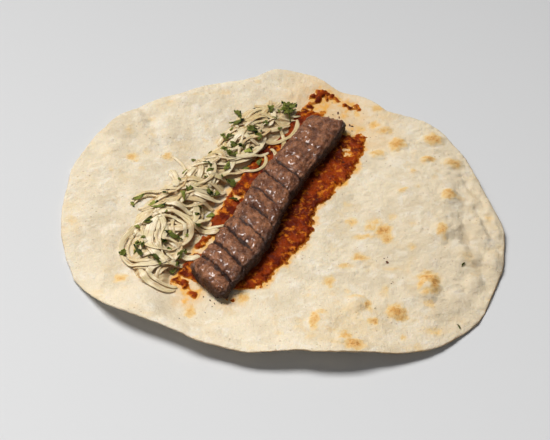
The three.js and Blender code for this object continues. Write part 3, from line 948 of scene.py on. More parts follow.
@dataclass
class Kebab:
    """One long minced-meat kebab, pressed flat, with finger grooves across it.

    Heights, middles, widths and slants are given at even steps from its start to its end, and each groove by
    its place along and its depth. Its end_height and end_widths are shares of the full ones, its powers say
    how square its section is, and the domes between the grooves fall off over dome_reach.
    """

    start: float = -124.0
    end: float = 116.0
    heights: tuple[float, ...] = (11.5, 15.2, 16.1, 16.1, 16.1, 16.1, 16.1, 15.7, 14)
    middles: tuple[float, ...] = (-10.5, -7, -5, -6, -9, -9, -7.5, -5.5, -6)
    widths: tuple[float, ...] = (43, 44, 46, 45, 42, 40, 38, 40, 38)
    slants: tuple[float, ...] = (0.38, 0.42, 0.4, 0.36, 0.28, 0.1, -0.16)
    base: float = 4.3
    end_length: float = 10.0
    end_height: float = 0.36
    end_widths: tuple[float, float] = (0.62, 0.74)
    side_power: float = 0.66
    rise_powers: tuple[float, float] = (0.7, 0.5)
    groove_reach: float = 1.5
    dome_reach: float = 5.0
    dome_depth: float = 0.34
    grooves: tuple[tuple[float, float], ...] = (
        (-107, 2.9), (-88, 2.8), (-69, 2.5), (-53, 2.0), (-31, 2.8), (-10.5, 2.3),
        (11, 2.2), (31, 2.0), (46, 1.0), (68, 1.2), (90, 0.6),
    )
    rings: int = 300
    sides: int = 144
    seeds: tuple[int, int] = (41, 42)
    tip_darkness: tuple[float, float] = (0.4, 0.2)

    def share(self, along: Array) -> Array:
        """Return how far along the kebab a place is, from 0 to 1."""
        return (along - self.start) / (self.end - self.start)

    def middle(self, along: Array) -> Array:
        """Return where the kebab's middle lies across the line."""
        return along_list(self.middles, self.share(along))

    def width(self, along: Array) -> Array:
        """Return the kebab's width."""
        return along_list(self.widths, self.share(along))

    def distance(self, x: Array, y: Array) -> Array:
        """Return how far places lie from the kebab's middle line.

        Args:
            x: the places' x.
            y: their y.

        Returns:
            The distance of each place.
        """
        along, across = LINE.split(x, y)
        nearest = np.clip(along, self.start, self.end)
        return np.hypot(along - nearest, across - self.middle(nearest))

    def clearance(self, x: Array, y: Array) -> Array:
        """Return how far places lie outside the kebab's edge."""
        along, _ = LINE.split(x, y)
        return self.distance(x, y) - self.width(along) / 2

    def surface(self) -> Surface:
        """Return the kebab's surface.

        Returns:
            A closed surface with the value groove: how dark each place is painted, as painted shade in its
                grooves, between its lumps and on its lower side, and as a darker near tip.
        """
        coarse, fine = (Noise(seed) for seed in self.seeds)
        along = np.repeat(np.linspace(self.start, self.end, self.rings), self.sides)
        angle = np.tile(np.linspace(0.0, -2 * math.pi, self.sides, endpoint=False), self.rings)
        c, s = np.cos(angle), np.sin(angle)
        to_end = np.minimum(along - self.start, self.end - along)
        rounding = np.sqrt(np.clip(1 - (1 - np.clip(to_end / self.end_length, 0, 1)) ** 2, 0, 1))
        half = along_list(self.heights, self.share(along)) / 2 * mix(self.end_height, 1.0, rounding)
        blunt = np.where(along < 0, *self.end_widths)
        reach = self.width(along) / 2 * mix(blunt, 1.0, rounding)
        side = np.sign(c) * np.abs(c) ** self.side_power * reach
        rise = np.sign(s) * np.abs(s) ** np.where(s > 0, *self.rise_powers)
        slant = along_list(self.slants, self.share(along))

        rough = np.stack([along, side, rise * half], axis=-1)
        bent = along + 3.6 * coarse.smooth(rough, 27.0) + 1.5 * fine.smooth(rough, 7.0)
        firm = np.clip(0.8 + 0.75 * coarse.smooth(rough + 60, 17.0), 0.15, 1.3)
        groove = np.zeros_like(along)
        dome = np.zeros_like(along)
        for at, depth in self.grooves:
            away = np.abs(bent - at)
            groove += depth * firm * np.exp(-((away / self.groove_reach) ** 1.2))
            dome += depth * self.dome_depth * np.exp(-((away / self.dome_reach) ** 2))
        upper = smoothstep(-0.35, 0.35, s)
        x, y = LINE.place(along - slant * side, self.middle(along) + side)
        z = self.base + half + rise * half
        points = np.stack([x, y, z], axis=-1)

        grid = points.reshape(self.rings, self.sides, 3)
        down = np.gradient(grid, axis=0)
        about = (np.roll(grid, -1, axis=1) - np.roll(grid, 1, axis=1)) / 2
        out = np.cross(about, down).reshape(-1, 3)
        out /= np.maximum(np.linalg.norm(out, axis=1, keepdims=True), 1e-6)

        stretched = np.stack([along * 0.72, side, z], axis=-1)
        near, second = fine.lumps(stretched, 5.2)
        small, _ = coarse.lumps(stretched + 9.0, 2.6)
        lump = 1.8 * (0.62 - near) + 1.2 * (0.6 - small)
        strand = fine.layered(np.stack([along * 0.45, side * 1.2, z], axis=-1), 3.4, 2)
        broad = coarse.layered(rough, 19.0, 2) * 1.15
        ragged = 1.0 + 0.9 * smoothstep(14.0, 3.0, along - self.start)
        moved = broad + ragged * (lump * 0.85 + strand * 0.42) - upper * (groove + dome)
        points = points + out * moved[:, None]
        points[:, 2] = np.maximum(points[:, 2], self.base - 0.7)

        # Painted shade in the gaps between lumps and in the grooves on top.
        seam = smoothstep(0.20, 0.02, second - near) * 0.5
        low = smoothstep(0.3, 1.9, groove) * upper
        # Painted shade on the lower side, reaching higher on the right side, which faces away from the light.
        shaded = np.where(c > 0, 0.90, 0.45)
        painted_side_shade = 0.95 * smoothstep(shaded, shaded - 0.6, s + 0.25 * coarse.smooth(rough, 9.0))
        tip = 0.8 * smoothstep(6.5, 0.5, along - self.start + 4 * fine.smooth(rough, 5.0))
        dark = np.clip(np.maximum.reduce([low + seam, painted_side_shade, tip]), 0, 1)
        values = {"groove": np.append(dark, self.tip_darkness)}
        return Surface(with_tips(points, self.sides), capsule_faces(self.rings, self.sides), values)


KEBAB = Kebab()


# ---------------------------------------------------------------- the bread


@dataclass(frozen=True)
class Patch:
    """A rounded patch of the bread: place, reach each way, and how much it rises or how toasted it is."""

    x: float
    y: float
    reach_x: float
    reach_y: float
    amount: float


@dataclass(frozen=True)
class Crease:
    """A straight ridge, or a furrow if its height is below 0, from one place to another."""

    x0: float
    y0: float
    x1: float
    y1: float
    width: float
    height: float


@dataclass
class Flatbread:
    """The stretched sheet of bread, with its rim, arches, blisters, creases and toasted spots.

    The rim's radii and lifts are given at even turns from +X, each ring of its rounding by how far in it lies
    and its share of the thickness, and each ring under the sheet by its share of the way to the rim.
    """

    rim_radii: tuple[float, ...] = (
        194, 188, 186, 184, 174, 164, 167, 164, 178, 185, 173, 175, 181, 185, 193, 200, 202, 201,
        203, 204, 204, 205, 201, 190, 185, 187, 187, 184, 191, 198, 208, 220, 222, 217, 213, 208,
    )
    rim_lifts: tuple[float, ...] = (
        2.5, 3, 3, 3, 4, 5, 5, 4, 3, 3, 3, 2.5, 2, 2, 2.5, 15, 15, 13.5, 16.8, 18, 8.5, 1.5, 0.8, 2.5,
    )
    thickness: float = 2.4
    rim_thickness: float = 1.8
    rim_round: float = 1.2
    rim_taper: float = 9.0
    rim_noise_ring: float = 110.0
    lift_start: float = 0.5
    lift_power: float = 1.8
    pressed: tuple[float, float] = (28.0, 58.0)
    arches: tuple[Patch, ...] = each(
        Patch,
        (138, -12, 42, 95, 10), (-128, 40, 42, 62, 5), (-60, 128, 60, 34, 4), (62, -128, 60, 30, 3),
    )
    blisters: tuple[Patch, ...] = each(
        Patch,
        (131, -106, 10.5, 17, 5.6), (100, -134, 10, 10, 2.3), (67, -124, 10, 11, 3.0),
        (36, -146, 16, 17, 3.0), (114, 76, 11, 11, 3.0), (93, 63, 9, 8, 2.0), (147, 81, 14, 10, 3.0),
        (163, 49, 12, 10, 3.4), (157, 3, 11, 12, 3.6), (147, -43, 11, 14, 3.4), (169, -68, 13, 13, 3.0),
        (100, 99, 11, 9, 2.0), (141, 53, 10, 6, 1.6), (125, 37, 7, 6, 1.0), (115, 11, 8, 5, 1.0),
        (-150, 106, 22, 24, 4.2), (-108, 96, 24, 22, 3.2), (-162, 52, 22, 24, 2.6), (-170, 4, 20, 26, 2.0),
        (-152, -44, 14, 18, 1.8), (-138, -96, 10, 9, 1.4), (-90, 140, 20, 12, 2.2), (-40, 160, 22, 10, 1.8),
        (-60, -150, 22, 12, 1.4), (60, -170, 14, 8, 1.6), (152, -120, 16, 16, 2.2), (192, -73, 9, 13, 2.4),
        (171, -100, 9, 13, 2.6), (184, -40, 12, 22, 2.4), (186, 12, 10, 20, 2.0),
    )
    creases: tuple[Crease, ...] = each(
        Crease,
        (157, 20, 158, -82, 8, 1.7), (171, 32, 187, -2, 3.2, -2.0), (181, -10, 191, -42, 3.2, -2.2),
        (176, 12, 184, -24, 5, 1.4), (192, 4, 198, -36, 4, 1.6), (166, -20, 172, -70, 4, -1.4),
        (178, -78, 184, -104, 4, -1.8), (160, -112, 176, -132, 6, -1.2), (182, -52, 192, -84, 6, 1.6),
        (-138, 116, -128, 72, 6, 1.7), (-124, 104, -112, 70, 5, -1.2), (-92, 116, -70, 96, 7, 1.4),
        (-168, 80, -150, 30, 8, 1.0), (-62, 122, -52, 96, 5, 0.9), (-182, -20, -160, -70, 8, 0.9),
        (130, 118, 70, 140, 6, 1.0), (20, 150, -30, 158, 6, 0.9),
    )
    spots: tuple[Patch, ...] = each(
        Patch,
        (113, 75, 7, 8, 0.95), (93, 64, 6, 5, 0.7), (102, 96, 7, 5, 0.6), (91, 105, 5, 5, 0.65),
        (147, 82, 8, 7, 0.9), (141, 53, 6, 4, 0.85), (164, 48, 7, 6, 0.75), (125, 37, 4, 4, 0.45),
        (145, 28, 3, 4, 0.3), (115, 11, 5, 3, 0.55), (156, 3, 6, 6, 0.85), (62, 0, 4, 4, 0.35),
        (65, -24, 5, 6, 0.6), (94, -37, 7, 7, 1.0), (96, -46, 5, 6, 0.85), (83, -32, 6, 4, 0.7),
        (87, -25, 7, 4, 0.6), (76, -42, 10, 3, 0.6), (147, -42, 5, 8, 0.75), (119, -60, 4, 4, 0.45),
        (71, -67, 7, 4, 0.75), (58, -77, 7, 3, 0.6), (121, -32, 5, 3, 0.3), (131, -96, 9, 8, 0.85),
        (136, -102, 4, 9, 1.0), (123, -102, 3, 7, 0.8), (129, -113, 5, 4, 0.6), (130, -124, 5, 4, 0.55),
        (75, -125, 2.5, 6, 1.0), (66, -116, 9, 2.5, 0.5), (81, -145, 3, 4, 0.95), (60, -150, 36, 28, 0.24),
        (101, -134, 8, 8, 1.0), (91, -111, 6, 6, 0.3), (168, -70, 6, 6, 0.3), (131, -154, 10, 5, 0.45),
        (105, -163, 3, 3, 0.55), (54, -165, 6, 5, 0.8), (62, -176, 8, 6, 1.0), (97, 126, 6, 4, 0.6),
        (54, 143, 6, 3, 0.75), (76, 121, 3, 4, 0.5), (192, -23, 4, 7, 0.35), (77, -127, 3, 7, 0.55),
        (78, -144, 3, 4, 0.6), (100, -82, 8, 3, 0.35), (78, 101, 4, 4, 0.6), (-141, 58, 5, 6, 0.7),
        (-125, 111, 4, 4, 0.35), (-146, 94, 4, 7, 0.3), (-108, 60, 5, 5, 0.7), (-128, 64, 4, 4, 0.3),
        (-131, 41, 3, 3, 0.35), (-142, -94, 6, 5, 0.75), (-57, 83, 5, 5, 0.5), (-158, -54, 3, 9, 0.2),
        (-54, 149, 6, 4, 0.35), (-161, -114, 8, 8, 0.25), (-33, -114, 5, 6, 0.8), (-79, -130, 4, 7, 0.75),
        (43, -96, 5, 6, 0.7), (29, -147, 4, 11, 0.85), (34, -136, 8, 4, 0.5), (42, -157, 7, 4, 0.35),
        (23, -114, 5, 3, 0.3), (92, -109, 4, 8, 0.35), (-3, -161, 5, 3, 0.3), (25, -166, 5, 6, 0.3),
        (-182, 30, 7, 5, 0.22), (-189, -24, 6, 4, 0.2),
    )
    spot_fall: tuple[float, float] = (1.85, 0.15)
    spot_wander: float = 0.34
    faint_toast: float = 0.32
    cells: int = 272
    rim_rings: tuple[tuple[float, float], ...] = ((0.35, 0.78), (0.0, 0.45), (0.4, 0.12))
    under_rings: tuple[float, ...] = (0.993, 0.975, 0.945, 0.9, 0.84, 0.76, 0.66, 0.54, 0.4, 0.26, 0.13)
    seeds: tuple[int, int] = (7, 8)

    def __post_init__(self) -> None:
        """Make the noises that the bread is wrinkled by."""
        self.ripple, self.crackle = (Noise(seed) for seed in self.seeds)

    def rim_radius(self, angle: Array) -> Array:
        """Return the rim's distance from the origin.

        Args:
            angle: where round the rim, in radians from +X.

        Returns:
            The distance at each angle.
        """
        wavy = np.sin(11 * angle + 0.6) + 0.6 * np.sin(19 * angle + 2.1)
        ring = on_plane(self.rim_noise_ring * np.cos(angle), self.rim_noise_ring * np.sin(angle))
        torn = 1.1 * self.ripple.smooth(ring, 13.0) + 0.5 * self.crackle.smooth(ring, 4.5)
        return around_list(self.rim_radii, angle) + wavy + torn

    def rim_lift(self, angle: Array) -> Array:
        """Return how far the rim stands off the table at an angle in radians."""
        return np.maximum(0.0, around_list(self.rim_lifts, angle))

    def lift(self, x: Array, y: Array) -> Array:
        """Return how far the sheet's underside stands off the table.

        Args:
            x: the places' x.
            y: their y.

        Returns:
            The height of each place.
        """
        angle = np.arctan2(y, x)
        share = np.clip(np.hypot(x, y) / self.rim_radius(angle), 0, 1)
        outward = np.clip((share - self.lift_start) / (1 - self.lift_start), 0, 1) ** self.lift_power
        arched = np.zeros_like(share)
        for a in self.arches:
            away_x, away_y = (x - a.x) / a.reach_x, (y - a.y) / a.reach_y
            arched = arched + a.amount * np.exp(-(away_x**2) - away_y**2)
        free = smoothstep(*self.pressed, KEBAB.distance(x, y))
        return (self.rim_lift(angle) * outward + arched * (1 - share**6)) * free

    def relief(self, x: Array, y: Array) -> Array:
        """Return the blisters, creases and wrinkles of the upper face.

        Args:
            x: the places' x.
            y: their y.

        Returns:
            How far each place is raised.
        """
        spots = on_plane(x, y)
        wander = 2.2 * self.ripple.smooth(spots, 9.0)
        height = np.zeros_like(x)
        for b in self.blisters:
            away = np.hypot((x - b.x + wander) / b.reach_x, (y - b.y + wander) / b.reach_y)
            height += b.amount * np.clip(1 - away**2, 0, 1) ** 1.2
        for f in self.creases:
            run = np.array([f.x1 - f.x0, f.y1 - f.y0], dtype=float)
            share = ((x - f.x0) * run[0] + (y - f.y0) * run[1]) / run.dot(run)
            held = np.clip(share, 0, 1)
            away = np.hypot(x - f.x0 - held * run[0] + wander, y - f.y0 - held * run[1])
            height += f.height * np.exp(-((away / f.width) ** 2))
        free = smoothstep(20.0, 70.0, KEBAB.distance(x, y)) * mix(0.7, 1.25, smoothstep(-60.0, 120.0, x))
        wrinkle = 0.8 * self.ripple.layered(spots, 24.0, 3, 0.5)
        wrinkle += 0.30 * self.crackle.layered(spots, 7.0, 3, 0.6)
        bubbles, _ = self.crackle.lumps(spots, 11.0)
        small, _ = self.ripple.lumps(spots + 17, 5.0)
        lively = smoothstep(-0.35, 0.6, self.ripple.layered(spots + 90, 60.0, 2))
        puffs = 1.1 * smoothstep(0.42, 0.05, bubbles) * lively + 0.28 * smoothstep(0.4, 0.1, small)
        return height + (wrinkle + puffs) * mix(0.3, 1.0, free)

    def top(self, x: Array, y: Array) -> Array:
        """Return the height of the upper face.

        Args:
            x: the places' x.
            y: their y.

        Returns:
            The height of each place.
        """
        angle = np.arctan2(y, x)
        inward = self.rim_radius(angle) - np.hypot(x, y)
        thick = mix(self.rim_thickness, self.thickness, smoothstep(0.0, self.rim_taper, inward))
        return self.lift(x, y) + thick + self.relief(x, y)

    def toast(self, x: Array, y: Array) -> Array:
        """Return how toasted the bread is.

        Args:
            x: the places' x.
            y: their y.

        Returns:
            How toasted each place is, from 0 to 1.
        """
        spots = on_plane(x, y)
        wander = self.spot_wander * self.crackle.layered(spots, 6.0, 3, 0.6)
        shift = 1.6 * self.ripple.smooth(spots + 50, 8.0)
        most = np.zeros_like(x)
        for s in self.spots:
            away = np.hypot((x - s.x + shift) / s.reach_x, (y - s.y - shift) / s.reach_y) + wander
            most = np.maximum(most, s.amount * smoothstep(*self.spot_fall, away))
        faint = self.faint_toast * smoothstep(0.45, 0.95, self.ripple.layered(spots + 200, 17.0, 2))
        return np.maximum(most, faint)

    def surface(self, oil: Heights) -> Surface:
        """Return the bread's surface.

        Args:
            oil: how oily each place is, from 0 to 1.

        Returns:
            A closed surface with the values toast, oil, rim and dusk; rim and dusk are partly painted shade.
        """
        n = self.cells
        b, a = np.meshgrid(np.linspace(-1, 1, n + 1), np.linspace(-1, 1, n + 1), indexing="ij")
        a, b = a.ravel(), b.ravel()
        wide = np.abs(a) > np.abs(b)
        away = np.where(wide, a, b)
        safe = np.where(away == 0, 1.0, away)
        turn = np.where(wide, math.pi / 4 * b / safe, math.pi / 2 - math.pi / 4 * a / safe)
        angle = np.arctan2(away * np.sin(turn), away * np.cos(turn))
        share = np.abs(away)
        radius = (self.rim_radius(angle) - self.rim_round) * share
        x, y = radius * np.cos(angle), radius * np.sin(angle)
        upper = np.stack([x, y, self.top(x, y)], axis=-1)

        grid = grid_faces(n + 1, n + 1)
        first, last = np.arange(n), n * (n + 1)
        loop = np.concatenate([first, first * (n + 1) + n, last + n - first, last - first * (n + 1)])
        edge_angle = angle[loop]
        outer = self.rim_radius(edge_angle)
        c, s = np.cos(edge_angle), np.sin(edge_angle)
        crest, under_edge = self.top(outer * c, outer * s), self.under(outer * c, outer * s)

        rings = []
        for inset, height in self.rim_rings:
            radius = outer - inset
            rings.append(np.stack([radius * c, radius * s, mix(under_edge, crest, height)], axis=-1))
        for reach in self.under_rings:
            rx, ry = outer * reach * c, outer * reach * s
            rings.append(np.stack([rx, ry, self.under(rx, ry)], axis=-1))
        count, sides = len(upper), len(loop)
        points = np.concatenate([upper, *rings, [[0.0, 0.0, 0.0]]])
        walls = [band_faces(loop, count + np.arange(sides)), tube_faces(len(rings), sides, count)]
        inner = count + (len(rings) - 1) * sides + np.arange(sides)
        fan = fan_faces(inner, len(points) - 1, flipped=True)
        faces = [grid, *(rows[:, [0, 3, 2, 1]] for rows in walls), fan]

        px, py = points[:, 0], points[:, 1]
        is_upper = np.arange(len(points)) < count + 2 * sides
        inward = self.rim_radius(np.arctan2(py, px)) - np.hypot(px, py)
        # Painted shade on the rim: weak all round, strongest on the side that faces away from the light.
        shade_side = 0.25 + 0.75 * smoothstep(-0.3, 0.6, np.cos(np.arctan2(py, px) + 0.7))
        values = {
            "toast": np.where(is_upper, self.toast(px, py), 0.55 * self.toast(py * 0.97, px)),
            "oil": np.where(is_upper, oil(px, py), 0.0),
            "rim": smoothstep(1.3, 0.1, inward) * shade_side,
            # Darker towards the right: partly the dough's own tone, partly painted shade.
            "tone_and_shade_right": smoothstep(30.0, 200.0, px - 0.25 * py),
        }
        return Surface(points, faces, values)

    def under(self, x: Array, y: Array) -> Array:
        """Return the height of the lower face, which lies flat where the sheet is on the table."""
        wrinkle = 0.35 * self.ripple.layered(on_plane(x, y), 22.0, 2)
        return np.maximum(self.lift(x, y) + wrinkle * smoothstep(0.0, 2.0, self.lift(x, y)), 0.0)


BREAD = Flatbread()


# ---------------------------------------------------------------- the pepper paste


@dataclass
class PepperPaste:
    """The ragged band of pepper paste, its tongues past the kebab's far end, and stray dabs.

    The band and its tongues are given by stations, each (along, left edge, right edge), and the dabs, the
    bare gaps and the stains of oil each by (x, y, reach).
    """

    band: Rows = (
        (-120, -42, -18), (-110, -43, 16), (-98, -42, 33), (-70, -44, 36), (-45, -46, 41), (-25, -47, 44),
        (10, -50, 32), (32, -51, 38), (55, -51, 41), (80, -50, 43), (100, -44, 39), (112, -41, 33),
    )
    tongue: Rows = (
        (96, -44, -22), (112, -42, -19), (128, -39, -17), (142, -37, -20), (156, -35, -25),
    )
    tip: Rows = ((100, 16, 38), (108, 20, 37), (118, 24, 34))
    dabs: Rows = (
        (-92, -94, 6), (-86, -96, 4.5), (-83, -102, 4), (-77, -108, 5), (-73, -51, 5.5), (-70, -46, 4),
        (-82, -117, 2), (65, 134, 4), (71, 131, 4.6), (76, 127, 3.4), (50, 145, 3.2), (56, 141, 3),
        (78, 88, 3), (33, 146, 5), (40, 150, 4), (62, 108, 2.2), (-44, -116, 2),
    )
    gaps: Rows = (
        (-66, -54, 12), (-76, -40, 9), (-58, -66, 8), (-41, 8, 4), (63, 72, 2.8), (64, 65, 2.4),
        (38, 130, 7), (44, 137, 5),
    )
    stains: Rows = (
        (41, 138, 12), (54, 140, 6), (62, 121, 5), (70, 103, 5), (46, 147, 7), (63, 75, 10), (73, 86, 7),
        (35, 134, 9),
    )
    depth: float = 2.0
    extent: tuple[float, ...] = (-138, 164, -62, 58)
    spacing: float = 1.05
    bury: float = 0.9
    seeds: tuple[int, int] = (21, 22)

    def __post_init__(self) -> None:
        """Make the noises that tear and lump the paste."""
        self.tear, self.lump = (Noise(seed) for seed in self.seeds)

    def inside(self, x: Array, y: Array) -> Array:
        """Return how far places lie inside the paste's outline.

        Args:
            x: the places' x.
            y: their y.

        Returns:
            The distance of each place; below 0 is outside.
        """
        along, across = LINE.split(x, y)
        most = np.full_like(along, -99.0)
        for rows in (self.band, self.tongue, self.tip):
            most = np.maximum(most, inside_band(rows, along, across))
        spots = on_plane(x, y)
        bent_x = x + 4.0 * self.tear.smooth(spots + 40, 8.0)
        bent_y = y + 4.0 * self.lump.smooth(spots + 80, 8.0)
        for gx, gy, reach in self.gaps:
            most = np.minimum(most, np.hypot(bent_x - gx, bent_y - gy) - reach)
        for dx, dy, reach in self.dabs:
            most = np.maximum(most, reach - np.hypot(bent_x - dx, (bent_y - dy) * 1.15))
        return most

    def torn(self, x: Array, y: Array) -> Array:
        """Return the same as inside, with ragged edges and thin places.

        Args:
            x: the places' x.
            y: their y.

        Returns:
            The distance of each place.
        """
        spots = on_plane(x, y)
        ragged = 2.6 * self.tear.layered(spots, 13.0, 2) + 2.2 * self.lump.layered(spots, 5.0, 3, 0.65)
        holes = 5.5 * smoothstep(0.50, 0.95, self.tear.layered(spots + 70, 11.0, 2))
        under = smoothstep(4.0, -6.0, KEBAB.clearance(x, y))
        return self.inside(x, y) + (ragged - holes) * (1 - 0.8 * under)

    def thickness(self, x: Array, y: Array) -> Array:
        """Return how far the paste stands above the bread.

        Args:
            x: the places' x.
            y: their y.

        Returns:
            The height at each place; below 0 it isn't there.
        """
        spots = on_plane(x, y)
        torn = self.torn(x, y)
        near, _ = self.lump.lumps(spots, 4.4)
        tiny, _ = self.tear.lumps(spots, 2.2)
        body = smoothstep(-0.4, 4.5, torn) * self.depth
        lumps = 1.5 * (0.58 - near) + 0.6 * (0.55 - tiny) + 0.7 * self.tear.layered(spots, 9.0, 2)
        beside = smoothstep(-3.0, 1.5, KEBAB.clearance(x, y))
        rough = smoothstep(0.0, 2.5, torn) * lumps * mix(0.25, 1.0, beside)
        return np.where(torn < 0, np.maximum(-0.7, torn * 0.6), body + rough * 0.9 + 0.12)

    def oil(self, x: Array, y: Array) -> Array:
        """Return how far the paste's oil has stained the bread.

        Args:
            x: the places' x.
            y: their y.

        Returns:
            The stain at each place, from 0 to 1.
        """
        spots = on_plane(x, y)
        along, _ = LINE.split(x, y)
        reach = self.inside(x, y) + 4.5 * self.tear.layered(spots + 20, 16.0, 3, 0.6)
        ragged = 2.0 * self.tear.smooth(spots, 6.0)
        for sx, sy, size in self.stains:
            reach = np.maximum(reach, 0.35 * (size - np.hypot(x - sx, y - sy)) + ragged - 1.5)
        close = smoothstep(-5.0, 1.5, reach)
        past_ends = np.maximum(smoothstep(94.0, 112.0, along), smoothstep(-104.0, -118.0, along))
        wide = 0.4 * smoothstep(-19.0, 0.0, reach) * past_ends
        return np.clip(np.maximum(close, wide), 0, 1)

    def surface(self) -> Surface:
        """Return the paste's surface.

        Returns:
            A closed surface with the value thin.
        """
        x, y = LINE.grid(self.extent, self.spacing)
        bread, rise = BREAD.top(x.ravel(), y.ravel()), self.thickness(x.ravel(), y.ravel())
        surface, used = spread_out(x, y, bread, rise, self.bury)
        surface.values["thin"] = np.tile(np.clip(1 - rise[used] / 1.7, 0, 1), 2)
        return surface


PASTE = PepperPaste()


# ---------------------------------------------------------------- the onion and the parsley


class Pile:
    """The height of all that lies on the bread so far, on a square grid."""

    def __init__(self, low: tuple[float, ...], high: tuple[float, ...], cell: float, ground: Heights) -> None:
        """Start from the bare ground.

        Args:
            low: the grid's lowest corner.
            high: its highest corner.
            cell: the side of a cell.
            ground: the height of what the pile starts on.
        """
        self.low, self.cell = low, cell
        self.xs = np.arange(low[0], high[0], cell)
        self.ys = np.arange(low[1], high[1], cell)
        x, y = np.meshgrid(self.xs, self.ys, indexing="ij")
        self.z = ground(x.ravel(), y.ravel()).reshape(x.shape)

    def height(self, x: Array, y: Array) -> Array:
        """Return the pile's height at places.

        Args:
            x: the places' x.
            y: their y.

        Returns:
            The height at each place.
        """
        i = np.clip(((x - self.low[0]) / self.cell).round().astype(int), 0, len(self.xs) - 1)
        j = np.clip(((y - self.low[1]) / self.cell).round().astype(int), 0, len(self.ys) - 1)
        return self.z[i, j]

    def cover(self, x: Array, y: Array, top: Array, reach: Array) -> None:
        """Raise the pile to the top of something laid along a path.

        Args:
            x: the path's places.
            y: the same.
            top: the height of its top at each place.
            reach: half its width at each place.
        """
        for px, py, pz, pr in zip(x, y, top, reach):
            i0 = int((px - pr - self.low[0]) / self.cell)
            j0 = int((py - pr - self.low[1]) / self.cell)
            span = int(2 * pr / self.cell) + 2
            cut = np.s_[max(i0, 0) : i0 + span + 1, max(j0, 0) : j0 + span + 1]
            gx, gy = self.xs[cut[0]][:, None], self.ys[cut[1]][None, :]
            inside = np.hypot(gx - px, gy - py) <= pr
            part = self.z[cut]
            self.z[cut] = np.where(inside, np.maximum(part, pz), part)


@dataclass(frozen=True)
class OnionSlice:
    """One slice of onion bent along an arc.

    Attributes:
        x: the arc's middle.
        y: the same.
        radius: the arc's radius.
        start: its first bearing, in degrees.
        sweep: how far it turns, in degrees.
        width: the slice's width, where it is widest.
        open: how much the radius grows along the arc, as a share.
    """

    x: float
    y: float
    radius: float
    start: float
    sweep: float
    width: float = 4.6
    open: float = 0.0


